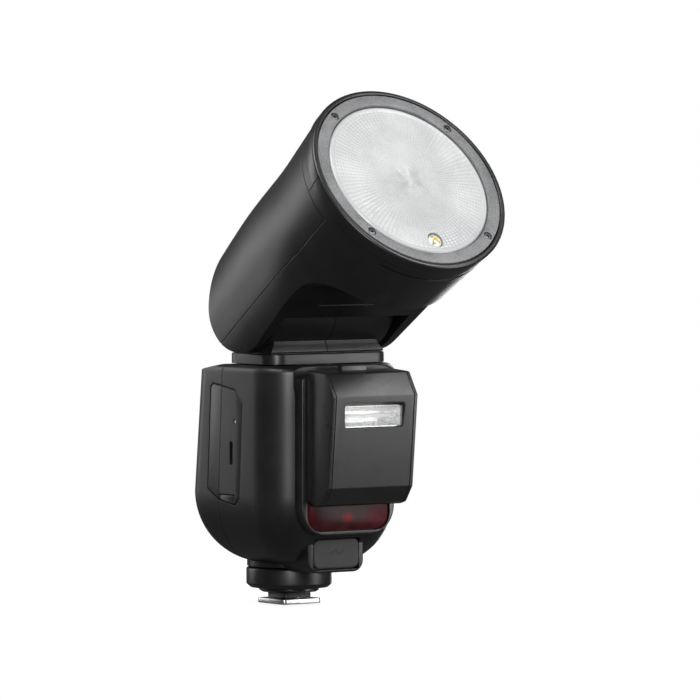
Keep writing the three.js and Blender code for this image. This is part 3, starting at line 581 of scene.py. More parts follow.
def barrel(wall, start, end, steps=28):
    return loft([head_ring(start + (end - start) * i / steps, wall) for i in range(steps + 1)])


def side_outline():
    """The head from its side, in (-forward, up): round ears, a slanted upper back and the scoop below."""
    r = EAR_RADIUS
    slant = radians(30)
    flat_end = -(SCOOP_WALL - SCOOP_RADIUS)
    outline = [(flat_end, -r)]
    outline += [(r * cos(t), r * sin(t)) for t in arc(-pi / 2, slant, 28)]
    outline.append((r * cos(slant) - 48 * sin(slant), r * sin(slant) + 48 * cos(slant)))
    outline += [(-100, 70), (-100, -60), (-SCOOP_WALL, -60)]
    floor = -r - SCOOP_RADIUS
    scoop = [
        (flat_end + SCOOP_RADIUS * cos(t), floor + SCOOP_RADIUS * sin(t)) for t in arc(pi, pi / 2, 16)
    ]
    return outline + scoop[:-1]


def above_cover_edge(offset, front):
    """Everything above the top cover's lower edge, which rises towards the front."""
    (ya, za), (yb, zb) = (-100, -15), (30, -6.4)

    def edge(y):
        return za + (zb - za) * (y - ya) / (yb - ya) + offset

    return prism([(front, edge(front)), (40, edge(40)), (40, 80), (front, 80)], "x", -60, 60)


def head_inside():
    points = [(-20, -18), (-37, -18), (-46, -22.6), (-52, -33), (-52, -60), (-100, -60), (-100, 60)]
    points += [(-14, 60), (5.1, 27), (-6, 24), (-20, 24)]
    return common(barrel(WALL, -26, 79), prism(points, "x", -60, 60))


def hinge_slot():
    half = EAR_INNER
    drum_room = rod("x", 20.7, -half, half, sides=SIDES)
    opening = block((-half, half), (-16.6, 30), (-40, -13))
    wide_room = rod("x", 24.6, -24.6, 24.6, sides=SIDES)
    rear_notch = common(wide_room, block((-half, half), (7.5, 30), (-13, 30)))
    front_room = rod("x", 23.8, -half, half, sides=SIDES)
    frame_room = common(front_room, block((-half, half), (-40, -9), (-15.8, 24)))
    return join(drum_room, opening, frame_room, rear_notch)


def grip_groove():
    """A shallow groove round the underside, just behind the rim."""
    rear = COLLAR + 0.2
    front = COLLAR + 1.8
    floor = RIM_RADIUS - 1.4
    section = [(floor, -rear), (floor + 7.4, -rear), (floor + 7.4, -front), (floor, -front)]
    band = turned(section, "y", 0, -SAG)
    return common(band, prism([(0, 0), (-54, -80), (54, -80)], "y", -100, 0))


def label_recess():
    """A shallow blank panel in the flat under the barrel."""
    outline = rounded([(-16.5, -35.5), (16.5, -35.5), (18.5, -24.5), (-18.5, -24.5)], 0.5)
    floor = EAR_RADIUS - 0.25
    return prism([(x, y) for x, y in outline], "z", -floor - 4, -floor)


def make_head_shells():
    outer = common(barrel(0, -26, SHELL_END), prism(side_outline(), "x", -60, 60))
    axle_bore = rod("x", AXLE_BORE, -31.8, 31.8)
    button_low, button_high = span("head_release_button", HEAD)
    button_radius = (button_high.z - button_low.z) / 2
    button = middle_of(button_low, button_high, "yz")
    release_hole = rod("x", button_radius + 0.4, 30, 60, *button)
    shell = cut(outer, head_inside(), hinge_slot(), axle_bore, release_hole)
    cover_front = -COLLAR + GAP / 2
    cover = above_cover_edge(GAP / 2, cover_front)
    cover_room = above_cover_edge(-GAP / 2, cover_front - GAP)
    collar = block((-60, 60), (-100, cover_front - GAP), (GAP / 2, 60))
    collar_room = block((-60, 60), (-100, cover_front - GAP), (-GAP / 2, 60))
    show("top_cover", common(shell, cover), HEAD, BLACK, "head_top_cover")
    show("collar_half", common(shell, collar), HEAD, BLACK, "head_collar_top")
    lower = cut(shell, cover_room, collar_room, grip_groove(), label_recess())
    show("lower_shell", lower, HEAD, BLACK, "head_lower_shell")
    face = rod("x", button_radius, button_low.x, button_high.x, *button, sides=64)
    show("release_button", face, HEAD, SATIN, "head_release_button")


# ---- head: rim, bezel, screws, lens and modelling light ----
LENS_RING = 0.3  # step between the lens's mesh rings
LENS_SECTORS = 420
PRISM_PITCH = 1.2  # width of one ring of prisms
PRISM_COUNT = 105  # prisms round the lens
PRISM_DEPTH = 0.13
LAMP_RADIUS = 3.1


def bead(profile_side, inner, outer, back, front, radius, steps=5):
    """A ring's section with both front corners rounded."""
    corners = [(inner, -back), (inner, -front), (outer, -front), (outer, -back)]
    return rounded(corners, [0.15, radius, profile_side, 0.15], steps)


def make_rim():
    outline = bead(1.0, RIM_RADIUS - 2.1, RIM_RADIUS, RIM_BACK, RIM_FRONT, 0.45)
    rim = turned(outline, "y", 0, -SAG, 160)
    depth = (-RIM_FRONT - 1, -RIM_BACK + 1)
    ticks = [block((side * 37, side * 46), depth, (-0.16, 0.16)) for side in (-1, 1)]
    show("front_rim", cut(rim, *[shallow(tick) for tick in ticks]), HEAD, SATIN, "rim_ring")


def shallow(tick):
    """The part of a cutter that bites only a little way into the rim's outside."""
    inner, outer = RIM_RADIUS - 0.4, RIM_RADIUS + 3
    skin = turned([(inner, -70), (outer, -70), (outer, -90), (inner, -90)], "y", 0, -SAG)
    return common(tick, skin)


def make_bezel():
    outline = bead(0.3, LENS_RADIUS + GAP, BEZEL_RADIUS, BEZEL_BACK, BEZEL_FRONT, 0.7)
    ring = turned(outline, "y", 0, -SAG, 160)
    wells = []
    for index in range(4):
        node = f"bezel_screw_{index + 1}"
        low, high = span(node, HEAD)
        x, z = middle_of(low, high)
        radius = (high.x - low.x) / 2
        depth = 2.1
        wells.append(rod("y", radius + GAP, -90, -BEZEL_FRONT + depth, x, z))
        wells.append(rod("y", 0.9, -90, -60, x, z, 20))
        head = softened(circle(radius, x, z), "y", -BEZEL_FRONT + depth - GAP, low.y, 0.25)
        arms = [
            block((x - a, x + a), (-90, low.y + 0.65), (z - b, z + b)) for a, b in ((0.85, 0.2), (0.2, 0.85))
        ]
        bite = common(join(*arms), rod("y", 0.8, -90, -70, x, z))
        show(f"cross_screw_{index + 1}", cut(head, bite), HEAD, DARK_STEEL, node)
    show("bezel_ring", cut(ring, *wells), HEAD, BEZEL_GREY, "lens_bezel")


def prism_height(radius, angle):
    """How far the lens's front sinks between its prisms, which stand in rings and in rays."""
    edge = smooth((LENS_RADIUS - 1.2 - radius) / 0.8)
    rings = abs(sin(pi * radius / PRISM_PITCH))
    rays = abs(sin(PRISM_COUNT * angle / 2))
    fade = smooth(radius / 5)
    return -PRISM_DEPTH * edge * (rings + rays * fade)


def make_lens():
    count = int(LENS_RADIUS / LENS_RING)
    vertices = [(0, -LENS_FRONT, -SAG)]
    for ring in range(1, count + 1):
        radius = LENS_RADIUS * ring / count
        rise = 0.3 * (radius / LENS_RADIUS) ** 2 + 0.5 * smooth((radius - LENS_RADIUS + 0.6) / 0.6)
        for sector in range(LENS_SECTORS):
            angle = 2 * pi * sector / LENS_SECTORS
            depth = LENS_FRONT - rise + prism_height(radius, angle)
            vertices.append((radius * cos(angle), -depth, -SAG + radius * sin(angle)))
    last = len(vertices) - LENS_SECTORS
    vertices += [(x, -LENS_BACK, z) for x, _, z in vertices[last:]]
    faces = [(0, 1 + i, 1 + (i + 1) % LENS_SECTORS) for i in range(LENS_SECTORS)]
    for ring in range(count):
        for i in range(LENS_SECTORS):
            a = 1 + ring * LENS_SECTORS + i
            b = 1 + ring * LENS_SECTORS + (i + 1) % LENS_SECTORS
            faces.append((a, a + LENS_SECTORS, b + LENS_SECTORS, b))
    faces.append(tuple(range(len(vertices) - LENS_SECTORS, len(vertices))))
    low, high = span("modelling_light", HEAD)
    hole = rod("y", LAMP_RADIUS + 0.25, -90, -60, *middle_of(low, high), 64)
    show("lens_disc", cut(solid(vertices, faces), hole), HEAD, LENS, "front_lens")


def make_lamp():
    """The modelling light: a clear dome that stands in the lens, over a ribbed cup and a small chip."""
    low, high = span("modelling_light", HEAD)
    x, z = middle_of(low, high)
    base_radius = (high.x - low.x) / 2
    seat = high.y - 1.6
    crown = low.y + 1.5
    profile = [(0.01, seat), (LAMP_RADIUS, seat), (LAMP_RADIUS, crown)]
    profile += [
        (max(0.01, LAMP_RADIUS * cos(t)), crown - 1.5 * sin(t)) for t in arc(0.15, pi / 2, 10)
    ]
    dome = turned(profile, "y", x, z, 64)
    plate = softened(circle(base_radius, x, z, 64), "y", high.y, seat, 0.15)
    flutes = []
    for i in range(16):
        angle = 2 * pi * i / 16
        place = (x + LAMP_RADIUS * cos(angle), z + LAMP_RADIUS * sin(angle))
        flutes.append(rod("y", 0.3, -90, seat - 2, *place, 12))
    show("lamp_dome", join(cut(dome, *flutes), plate), HEAD, LAMP, "modelling_light")


# ---- hinge and swivel ----
def make_hinge():
    base_low, base_high = span("swivel_base")
    top = base_high.z
    axle_bore = rod("x", AXLE_BORE, -60, 60, PIVOT_Y, PIVOT_Z)
    wire_well = rod("z", 6.6, 90, PIVOT_Z, 0, PIVOT_Y)
    side = [(-25.8, top + GAP), (0.6, top + GAP), (-1.4, 101.8), (-2.2, 104.6)]
    side += [(-23.8, 104.6), (-24.6, 101.8)]
    narrow = 24.5
    face = [(-DRUM_HALF, 90), (DRUM_HALF, 90), (DRUM_HALF, 98.2), (narrow, 102.4), (narrow, 130)]
    face += [(-narrow, 130), (-narrow, 102.4), (-DRUM_HALF, 98.2)]
    saddle = common(
        prism(rounded(side, [0.6, 0.6, 2, 2, 2, 2]), "x", -DRUM_HALF, DRUM_HALF),
        prism(rounded(face, 1.2), "y", -60, 60),
    )
    rear_sides = [block(range_x, (PIVOT_Y, 40), (80, 103.2)) for range_x in ((-40, -24), (24, 40))]
    drum_radius = span("hinge_drum_left")[1].z - PIVOT_Z
    drum = rod("x", drum_radius, -DRUM_HALF, DRUM_HALF, PIVOT_Y, PIVOT_Z, 128)
    whole = cut(join(cut(saddle, *rear_sides), drum), axle_bore, wire_well)
    inner = rod("x", drum_radius - 0.8, -1, 0.08, PIVOT_Y, PIVOT_Z, 96)
    skirt = block((-1, 0.08), (PIVOT_Y - 9, PIVOT_Y + 9), (top + 0.8, PIVOT_Z))
    tongue = cut(join(inner, skirt), axle_bore, wire_well)
    left = join(common(whole, block((-60, -GAP / 2), (-60, 60), (60, 160))), tongue)
    show("drum_left", left, WORLD, BLACK, "hinge_drum_left")
    right = common(whole, block((GAP / 2, 60), (-60, 60), (60, 160)))
    show("drum_right", right, WORLD, BLACK, "hinge_drum_right")
    slab_bottom = base_high.z - 4
    outline = rectangle(base_low.x, base_high.x, base_low.y, base_high.y, 7, 12)
    slab = softened(outline, "z", slab_bottom, top, 0.5)
    collar = rod("z", 12.9, base_low.z, slab_bottom + 0.2, 0, PIVOT_Y, 64)
    # The drum is fixed on the plinth, so a footing closes the clearance between them.
    foot_z = (top - 0.4, top + GAP - 0.02)
    wide_foot = block((1 - DRUM_HALF, DRUM_HALF - 1), (-25, PIVOT_Y - 0.6), foot_z)
    rear_foot = block((-23.2, 23.2), (PIVOT_Y - 1, -0.2), foot_z)
    plinth = cut(join(slab, collar, wide_foot, rear_foot), rod("z", 7, 60, 120, 0, PIVOT_Y))
    show("swivel_plinth", plinth, WORLD, BLACK, "swivel_base")


# ---- body shells ----
def body_inset(z):
    """How far the outline pulls in: a quarter ellipse at the bottom and a small round at the top."""
    down = (DEEPEST - z) / (DEEPEST - BODY_BOTTOM + 0.6)
    up = max(0.0, z - (BODY_TOP - TOP_ROUND)) / TOP_ROUND
    low = BOTTOM_INSET * (1 - sqrt(1 - min(1, down * down))) if down > 0 else 0
    return low + TOP_ROUND * (1 - sqrt(max(0, 1 - up * up * 0.95)))


def body_ring(z, wall):
    inset = body_inset(z) + wall
    back = BODY_BACK - BACK_LEAN * max(0, z - DEEPEST) - inset
    front = BODY_FRONT + inset
    side = HALF_WIDTH - inset
    front_corner = max(3, FRONT_RADIUS - inset * 0.6)
    back_corner = max(3, BACK_RADIUS - wall)
    outline = rectangle(-side, side, front, back, [front_corner, front_corner, back_corner, back_corner], 14)
    return [(x, y, z) for x, y in outline]


def body_solid(wall, bottom, top):
    heights = [bottom + (DEEPEST - bottom) * (1 - cos(t)) for t in arc(0, pi / 2, 22)]
    heights += [DEEPEST + (top - TOP_ROUND - DEEPEST) * t for t in (0.25, 0.5, 0.75, 1)]
    heights += [top - TOP_ROUND + TOP_ROUND * sin(t) for t in arc(0, pi / 2, 8)[1:]]
    return loft([body_ring(z, wall) for z in heights])


def leaning(y, z):
    """A place along Y on a line that leans with the battery and the body's parting line."""
    return y - LEAN * (z - PARTING_Z)


def ahead_of_parting(offset):
    y = PARTING_Y + offset
    return prism([(-80, 0), (leaning(y, 0), 0), (leaning(y, 120), 120), (-80, 120)], "x", -60, 60)


def behind_parting(offset):
    y = PARTING_Y + offset
    return prism([(leaning(y, 0), 0), (80, 0), (80, 120), (leaning(y, 120), 120)], "x", -60, 60)


PACK_FRONT = -12.6
PACK_BACK = 8.8
PACK_BOTTOM = 39.8
PACK_TOP = 84.2
PACK_CORNER = 5.0
PACK_RADIUS = 3.0
PACK_WALL = 1.6
pack_inner = max(span("battery_case_front")[1].x, span("battery_case_rear")[1].x)


def pack_outline(grow):
    """The battery's outline in (Y, Z): a leaning panel whose top and bottom climb towards the back."""
    y0, y1 = PACK_FRONT - grow, PACK_BACK + grow
    z0, z1 = PACK_BOTTOM - grow, PACK_TOP + grow
    r, corner = PACK_RADIUS, PACK_CORNER
    middle = leaning(0, (z0 + z1) / 2)
    points = [(y0 + r, z0), (PARTING_Y, z0 + 1.8), (y1 - r, z0 + 4.1), (y1, z0 + 5.8), (y1, z1 + 2.2 - r / 2)]
    points += [(y1 - r / 2, z1 + 2.2), (y0 + corner, z1), (y0, z1 - corner), (y0, z0 + r)]
    return rounded([(leaning(y, z) - middle, z) for y, z in points], 0.9, 4)


def slope(drop):
    """Everything above the slope at the back of the body's top."""
    return prism([(0, 94.4 - drop), (40, 86.8 - drop), (40, 110), (0, 110)], "x", -60, 60)


def recess_outline():
    """Front view of the recess: rounded at the bottom, and flared outwards into the top."""
    flare = [
        (RECESS_HALF + RECESS_ROUND * (1 - cos(t)), RECESS_TOP - RECESS_ROUND * (1 - sin(t)))
        for t in arc(0, pi / 2, 14)
    ]
    corners = [(-RECESS_HALF, 60), (-RECESS_HALF, RECESS_BOTTOM)]
    corners += [(RECESS_HALF, RECESS_BOTTOM), (RECESS_HALF, 60)]
    bottom = rounded(corners, [0, 9, 9, 0], 10)
    right = flare + [(RECESS_HALF + RECESS_ROUND, 130)]
    return bottom + right + [(-x, z) for x, z in reversed(right)]


def seat_opening():
    low, high = span("small_flash_contacts")
    margin = 0.4
    return block((low.x - margin, high.x + margin), (-60, -30), (low.z - margin, high.z + margin))


def lamp_room():
    return block((-17, 17), (-37, -30), (32, 41.5))


def port_pocket():
    low, high = span("port_flap")
    return block((low.x - GAP, high.x + GAP), (-40, -27.6), (14.7, high.z + GAP))


def make_body():
    outer = body_solid(0, BODY_BOTTOM, BODY_TOP)
    inner = body_solid(WALL, BODY_BOTTOM + WALL, BODY_TOP - WALL)
    ring_high = span("lock_ring")[1]
    ring_room = rod("z", ring_high.x + GAP, 0, ring_high.z + GAP, sides=SIDES)
    frame_outline = rectangle(-13.2, 13.2, 13.6, 27, [4.5, 4.5, 1.5, 1.5], 8)
    housing = cut(softened(frame_outline, "y", -14, -31.2, 0.7, 4), ring_room)
    neck = turned([(8, 14.6), (16.3, 14.6), (16.5, 14.8), (16.5, 19.2), (8, 19.2)])
    recess_wall = block((-60, 60), (-60, RECESS_FLOOR + WALL), (RECESS_BOTTOM - WALL, 120))
    hollow = join(cut(inner, slope(WALL), recess_wall), block((-8.3, 8.3), (-27.7, -20), (16, 26)))
    openings = [
        hollow,
        slope(0),
        rod("z", 8, 0, 30, sides=48),
        rod("z", 13.3, 80, 120, 0, PIVOT_Y, 64),
        prism(pack_outline(GAP), "x", -60, pack_inner + GAP),
        prism(recess_outline(), "y", -60, RECESS_FLOOR),
        port_pocket(),
    ]
    shell = cut(join(outer, housing, neck), *openings)
    front = common(cut(shell, lamp_room(), seat_opening()), ahead_of_parting(-GAP / 2))
    show("front_moulding", front, WORLD, BLACK, "body_front_shell")
    rear = cut(common(shell, behind_parting(GAP / 2)), *rear_openings())
    show("rear_moulding", rear, WORLD, BLACK, "body_rear_shell")


def seated(shape):
    """A cutter drawn on the rear panel, turned into the body's axes."""
    shape.data.transform(WORLD.inverted() @ PANEL)
    return shape


def rear_openings():
    low, high = span("screen_window", PANEL)
    lip = 2
    holes = [
        block((low.x - GAP, high.x + GAP), (-1.4, 5), (low.z - GAP, high.z + GAP)),
        block((low.x + lip, high.x - lip), (-9, 5), (low.z + lip, high.z - lip)),
    ]
    dial_high = span("control_dial", PANEL)[1]
    holes.append(rod("y", dial_high.x + GAP, -1.6, 5, sides=SIDES))
    hub_high = span("set_button", PANEL)[1]
    holes.append(rod("y", hub_high.x + 1, -9, 5, sides=48))
    for index in range(4):
        low, high = span(f"soft_key_{index + 1}", PANEL)
        holes.append(prism(front_of(low, high, 1.1, grow=GAP), "y", -9, 5))
    for node in ("mode_button", "test_button"):
        low, high = span(node, PANEL)
        holes.append(rod("y", (high.x - low.x) / 2 + GAP, -9, 5, *middle_of(low, high)))
    low, high = span("power_switch", PANEL)
    travel = joints["power_switch_slide"]["range_m"][1] / MM
    holes.append(block((low.x - GAP, high.x + travel + GAP), (-9, 5), (low.z - GAP, high.z + GAP)))
    return [seated(hole) for hole in holes]


# ---- battery ----
def make_battery():
    face = -HALF_WIDTH
    outer = softened(pack_outline(0), "x", pack_inner, face, 0.45, 3)
    hollow = prism(pack_outline(-PACK_WALL), "x", face + PACK_WALL, pack_inner - PACK_WALL)
    slot = prism(rectangle(-7.1, -5.1, 55, 64.4, 0.99, 6), "x", -40, -27.2)
    light_low, light_high = span("battery_charge_light")
    light = middle_of(light_low, light_high, "yz")
    light_radius = (light_high.z - light_low.z) / 2
    latch_low, latch_high = span("battery_latch")
    travel = 1.2
    pocket_depth = latch_high.x + travel + GAP
    pocket = block((-40, pocket_depth), (latch_low.y - GAP, latch_high.y + GAP), (0, latch_high.z + GAP))
    wall_y = (latch_low.y - 1.5, latch_high.y + 1)
    pocket_wall = block((face + 1, pocket_depth + 1.2), wall_y, (0, latch_high.z + 1.5))
    case = join(cut(outer, hollow), common(pocket_wall, outer))
    case = cut(case, slot, rod("x", light_radius + 0.25, -40, -28, *light), pocket)
    show("battery_front", common(case, ahead_of_parting(-GAP / 2)), WORLD, BLACK, "battery_case_front")
    show("battery_rear", common(case, behind_parting(GAP / 2)), WORLD, BLACK, "battery_case_rear")
    pipe = softened(circle(light_radius, *light), "x", light_high.x, light_low.x, 0.2)
    show("charge_light", pipe, WORLD, TUBE, "battery_charge_light")
    outline = rectangle(latch_low.y, latch_high.y, 0, latch_high.z, 0.5)
    latch = softened(outline, "x", latch_high.x, latch_low.x, 0.35)
    latch = common(latch, prism(pack_outline(-0.2), "x", -60, 0))
    show("battery_release", latch, WORLD, BLACK, "battery_latch")


# ---- front fascia, red window and port flap ----
def make_front():
    low, high = span("front_fascia")
    fascia = softened(front_of(low, high, [11, 11, 2, 2], 12), "y", high.y, low.y, 0.6, 4)
    pane_low, pane_high = span("af_assist_window")

    def pane(grow):
        corners = [10 + grow, 10 + grow, 0.8 + grow, 0.8 + grow]
        return front_of(pane_low, pane_high, corners, 12, grow)

    room = prism(pane(GAP), "y", -60, pane_high.y + GAP)
    show("fascia_plate", cut(fascia, room, lamp_room(), seat_opening()), WORLD, SATIN, "front_fascia")
    window = softened(pane(0), "y", pane_high.y, pane_low.y, 0.3)
    show("red_window", window, WORLD, RED, "af_assist_window")
    low, high = span("small_flash_contacts")
    seat = softened(front_of(low, high, 0.6), "y", high.y, low.y + 0.4, 0.25)
    show("unit_seat", seat, WORLD, GLOSS, "small_flash_contacts")
    pads = []
    for x in (-3, -1, 1, 3):
        for z in ((low.z + high.z) / 2 - 1.2, (low.z + high.z) / 2 + 1.2):
            pads.append(softened(circle(0.6, x, z, 24), "y", low.y + 1, low.y, 0.3))
    show("unit_pads", join(*pads), WORLD, GOLD, "small_flash_contacts", stands=False)


def make_flap():
    low, high = span("port_flap")
    hinge = joints["port_flap_hinge"]["pos_m"]
    hinge_y, hinge_z = hinge[1] / MM, hinge[2] / MM
    cover = softened(rectangle(low.x, high.x, low.z + 0.4, high.z, 2.6, 8), "y", -29.2, low.y, 0.5, 4)
    plug = block((-6.6, 6.6), (-29.3, high.y), (18.6, 24.2))
    pin = rod("x", 0.9, -8, 8, hinge_y, hinge_z, 24)
    flap = cut(join(cover, plug, pin), *port_icon(low.y))
    show("port_cover", flap, WORLD, RUBBER, "port_flap")


def stroke(start, end, width, y, depth):
    """A straight engraved stroke between two (X, Z) points."""
    a = Vector(start)
    b = Vector(end)
    side = (b - a).normalized().orthogonal() * width / 2
    return prism([tuple(p) for p in (a - side, b - side, b + side, a + side)], "y", y - 2, y + depth)


def port_icon(face):
    """A plain zigzag for a cable port."""
    z = 21.6
    zigzag = [(-3.4, z - 0.5), (-0.6, z + 0.9), (0.6, z - 0.9), (3.4, z + 0.5)]
    return [stroke(zigzag[i], zigzag[i + 1], 0.32, face, 0.14) for i in range(3)]


# ---- clip-on small flash ----
unit_high = span("small_flash_housing")[1]
UNIT_HALF = unit_high.x
UNIT_BACK = unit_high.y
UNIT_PROFILE = [
    (UNIT_BACK, 42.4), (-46, 40.4), (-49.6, 41.4), (-53.8, 47.6),
    (-57.1, 83), (-51.7, 91.8), (UNIT_BACK, 92.6),
]
UNIT_ROUNDS = [0.6, 1.5, 3, 1.2, 0.6, 1.2, 0.6]
UNIT_SEAM = 1.8  # from the small flash's side to the seam of its front cover


def unit_profile(shrink):
    """The small flash from its side, in (Y, Z), drawn in towards its middle."""
    middle = Vector((-47, 67))
    halves = Vector((8.6, 26))
    points = [
        tuple(middle[k] + (point[k] - middle[k]) * (1 - shrink / halves[k]) for k in range(2))
        for point in UNIT_PROFILE
    ]
    return rounded(points, UNIT_ROUNDS, 5)


def make_small_flash():
    outer = softened(unit_profile(0), "x", -UNIT_HALF, UNIT_HALF, 0.5, 4, both=True)
    band = UNIT_HALF - UNIT_SEAM
    hollow = prism(unit_profile(1.6), "x", -band + GAP, band - GAP)
    band_back = -43.4
    front_band = block((-band, band), (-70, band_back), (30, 100))
    front_room = block((-band - GAP, band + GAP), (-70, band_back + GAP), (30, 100))
    band_hollow = prism(unit_profile(1.3), "x", -band - 1, band + 1)
    pane_low, pane_high = span("small_flash_window")
    opening = front_of(pane_low, pane_high, 0.6, grow=GAP)
    flare = [(-55.3, 0), (-57.5, -1.6)]
    frame_bevel = loft(
        [[along("y", a, b, depth) for a, b in inward(opening, inset)] for depth, inset in flare]
    )
    window_hole = join(prism(opening, "y", -70, -53), frame_bevel)
    tab_low, tab_high = span("small_flash_release")
    travel = joints["small_flash_release_press"]["range_m"][1] / MM
    tab_z = (tab_low.z - travel - GAP, 100)
    tab_hole = block((tab_low.x - GAP, tab_high.x + GAP), (tab_low.y - GAP, UNIT_BACK + 1), tab_z)
    seat = seat_opening()
    show("unit_housing", cut(outer, hollow, front_room, tab_hole, seat), WORLD, SATIN, "small_flash_housing")
    cover = cut(common(outer, front_band), band_hollow, window_hole, tab_hole)
    show("unit_cover", cover, WORLD, SATIN, "small_flash_cover")
    outline = rectangle(tab_low.x, tab_high.x, tab_low.y, tab_high.y, 0.5)
    tab = softened(outline, "z", tab_low.z, tab_high.z, 0.3)
    show("unit_release", tab, WORLD, SATIN, "small_flash_release")


# ---- foot and lock ----
CONTACTS = [(0, 0), (-3, -3), (3, -3), (-3, 3), (3, 3)]


def make_lock():
    low, high = span("lock_ring")
    radius = high.x
    bore = 9.4
    profile = [(bore, low.z), (radius - 1.6, low.z), (radius, low.z + 1.4), (radius, high.z), (bore, high.z)]
    ring = turned(rounded(profile, [0.2, 0.4, 0.8, 0.9, 0.2], 5), sides=128)
    show("lock_collar", ring, WORLD, BLACK, "lock_ring")
    low, high = span("clamp_plate")
    half = 6.6
    profile = [(0.01, low.z), (high.x - 1.2, low.z), (high.x, low.z + 0.7), (high.x, high.z), (0.01, high.z)]
    square = prism(rectangle(-half, half, -half, half, 1), "z", 0, 30)
    show("clamp_disc", cut(turned(profile, sides=SIDES), square), WORLD, SATIN, "clamp_plate")


def make_foot():
    low, high = span("foot_plate")
    window = span("contact_insert")[1].x + GAP
    pin_low, pin_high = span("lock_pin")
    pin_y = (pin_low.y + pin_high.y) / 2
    outline = rectangle(low.x, high.x, low.y, high.y, 1.6, 8)
    plate = softened(outline, "z", low.z, high.z, 0.3, 4, both=True)
    lock_hole = rod("z", 0.7, -1, 3, 0, pin_y)
    plate = cut(plate, block((-window, window), (-window, window), (-1, 3)), lock_hole)
    show("shoe_plate", plate, WORLD, STEEL, "foot_plate")
    neck_low, neck_high = span("foot_neck")
    half = 6.3
    column = softened(rectangle(-half, half, -half, half, 1.2), "z", 12.2, neck_low.z, 0.3)
    spigot = rod("z", neck_high.x, 12.1, neck_high.z, sides=64)
    well = block((-window, window), (-window, window), (0, 5.4))
    neck = cut(join(column, spigot), well, rod("z", 0.7, -1, 11.5, 0, pin_y))
    show("neck_column", neck, WORLD, BLACK, "foot_neck")
    tip = [(0.01, 5), (0.01, pin_low.z), (pin_high.x, pin_low.z), (pin_high.x, 5)]
    tip = rounded(tip, [0, 0, 0.42, 0], 5)
    lock = join(turned(tip, "z", 0, pin_y, 32), rod("z", pin_high.x, 4.8, pin_high.z, 0, pin_y))
    show("lock_peg", lock, WORLD, STEEL, "lock_pin")
    low, high = span("contact_insert")
    insert = softened(rectangle(low.x, high.x, low.y, high.y, 0.4), "z", high.z, low.z, 0.15)
    bed = cut(insert, *[rod("z", 0.95, -1, 5, x, y) for x, y in CONTACTS])
    show("contact_bed", bed, WORLD, GLOSS, "contact_insert")
    low, high = span("contact_pins")
    carrier = block((low.x, high.x), (low.y, high.y), (3.4, high.z))
    pin = rounded([(0.01, 3.6), (0.01, low.z), (0.62, low.z), (0.62, 3.6)], [0, 0, 0.5, 0], 5)
    pins = join(carrier, *[turned(pin, "z", x, y, 24) for x, y in CONTACTS])
    show("contact_set", pins, WORLD, GOLD, "contact_pins")


# ---- sockets behind the port flap and in the battery ----
def make_sockets():
    low, high = span("port_socket")
    body = softened(front_of(low, high, 0.8), "y", high.y, low.y, 0.3)
    flat_socket = prism(rectangle(-5.6, -1.2, 19.2, 23.2, [0.3, 0.3, 1.4, 1.4]), "y", -40, -23)
    round_socket = rod("y", 1.8, -40, -23, 4.4, 21.2)
    shell = prism(rectangle(-5.2, -1.6, 20.4, 22, 0.3), "y", -26.2, -23.5)
    centre = rod("y", 0.5, -26.6, -22.5, 4.4, 21.2)
    sockets = join(cut(body, flat_socket, round_socket), shell, centre)
    show("socket_block", sockets, WORLD, GLOSS, "port_socket")
    low, high = span("battery_charge_socket")
    outline = rectangle(low.y, high.y, low.z, high.z, 1)
    hole = prism(rectangle(low.y + 1.6, high.y - 1.6, low.z + 2.2, high.z - 2.2, 0.9), "x", -40, -24)
    tongue = block((-28.6, -23.5), (-6.4, -5.8), (low.z + 3.2, high.z - 3.2))
    socket = join(cut(softened(outline, "x", high.x, low.x, 0.3), hole), tongue)
    show("charge_socket", socket, WORLD, STEEL, "battery_charge_socket")


# ---- window of the small flash ----
def make_unit_window():
    low, high = span("small_flash_window")
    side = [(-56, low.z), (-55.2, low.z), (-55.6, high.z), (-56.6, high.z)]
    pane = prism(side, "x", low.x, high.x)
    ribs = [rod("z", 0.22, low.z + 0.5, high.z - 0.5, low.x + 1.2 + 1.1 * i, -55.15, 8) for i in range(22)]
    show("unit_pane", cut(pane, *ribs), WORLD, CLEAR, "small_flash_window")
    low, high = span("small_flash_reflector")
    middle = (low.z + high.z) / 2
    outside = [(-54, low.z), (-54, high.z), (-49.4, middle + 2.5), (-47.4, middle), (-49.4, middle - 2.5)]
    bowl = [(-60, low.z + 1), (-54, low.z + 1), (-51.8, middle - 2.7), (-50, middle - 1.7), (-48.6, middle)]
    bowl += [(-50, middle + 1.7), (-51.8, middle + 2.7), (-54, high.z - 1), (-60, high.z - 1)]
    trough = prism(rounded(bowl, [0, 0, 1, 1, 1, 1, 1, 0, 0], 4), "x", low.x + 1, high.x - 1)
    shell = cut(prism(outside, "x", low.x, high.x), trough)
    flutes = [rod("y", 0.22, -53.9, -49.2, low.x + 2 + 1.35 * i, low.z + 1, 8) for i in range(19)]
    show("unit_bowl", join(shell, *flutes), WORLD, REFLECTOR, "small_flash_reflector")
    low, high = span("small_flash_tube")
    y, z = middle_of(low, high, "yz")
    tube = softened(circle(0.85, y, z, 32), "x", low.x, high.x, 0.3, both=True)
    caps = [softened(circle(1.1, y, z, 32), "x", start, end, 0.15, both=True)
            for start, end in ((low.x, low.x + 2.6), (high.x - 2.6, high.x))]
    show("unit_tube", join(tube, *caps), WORLD, TUBE, "small_flash_tube")


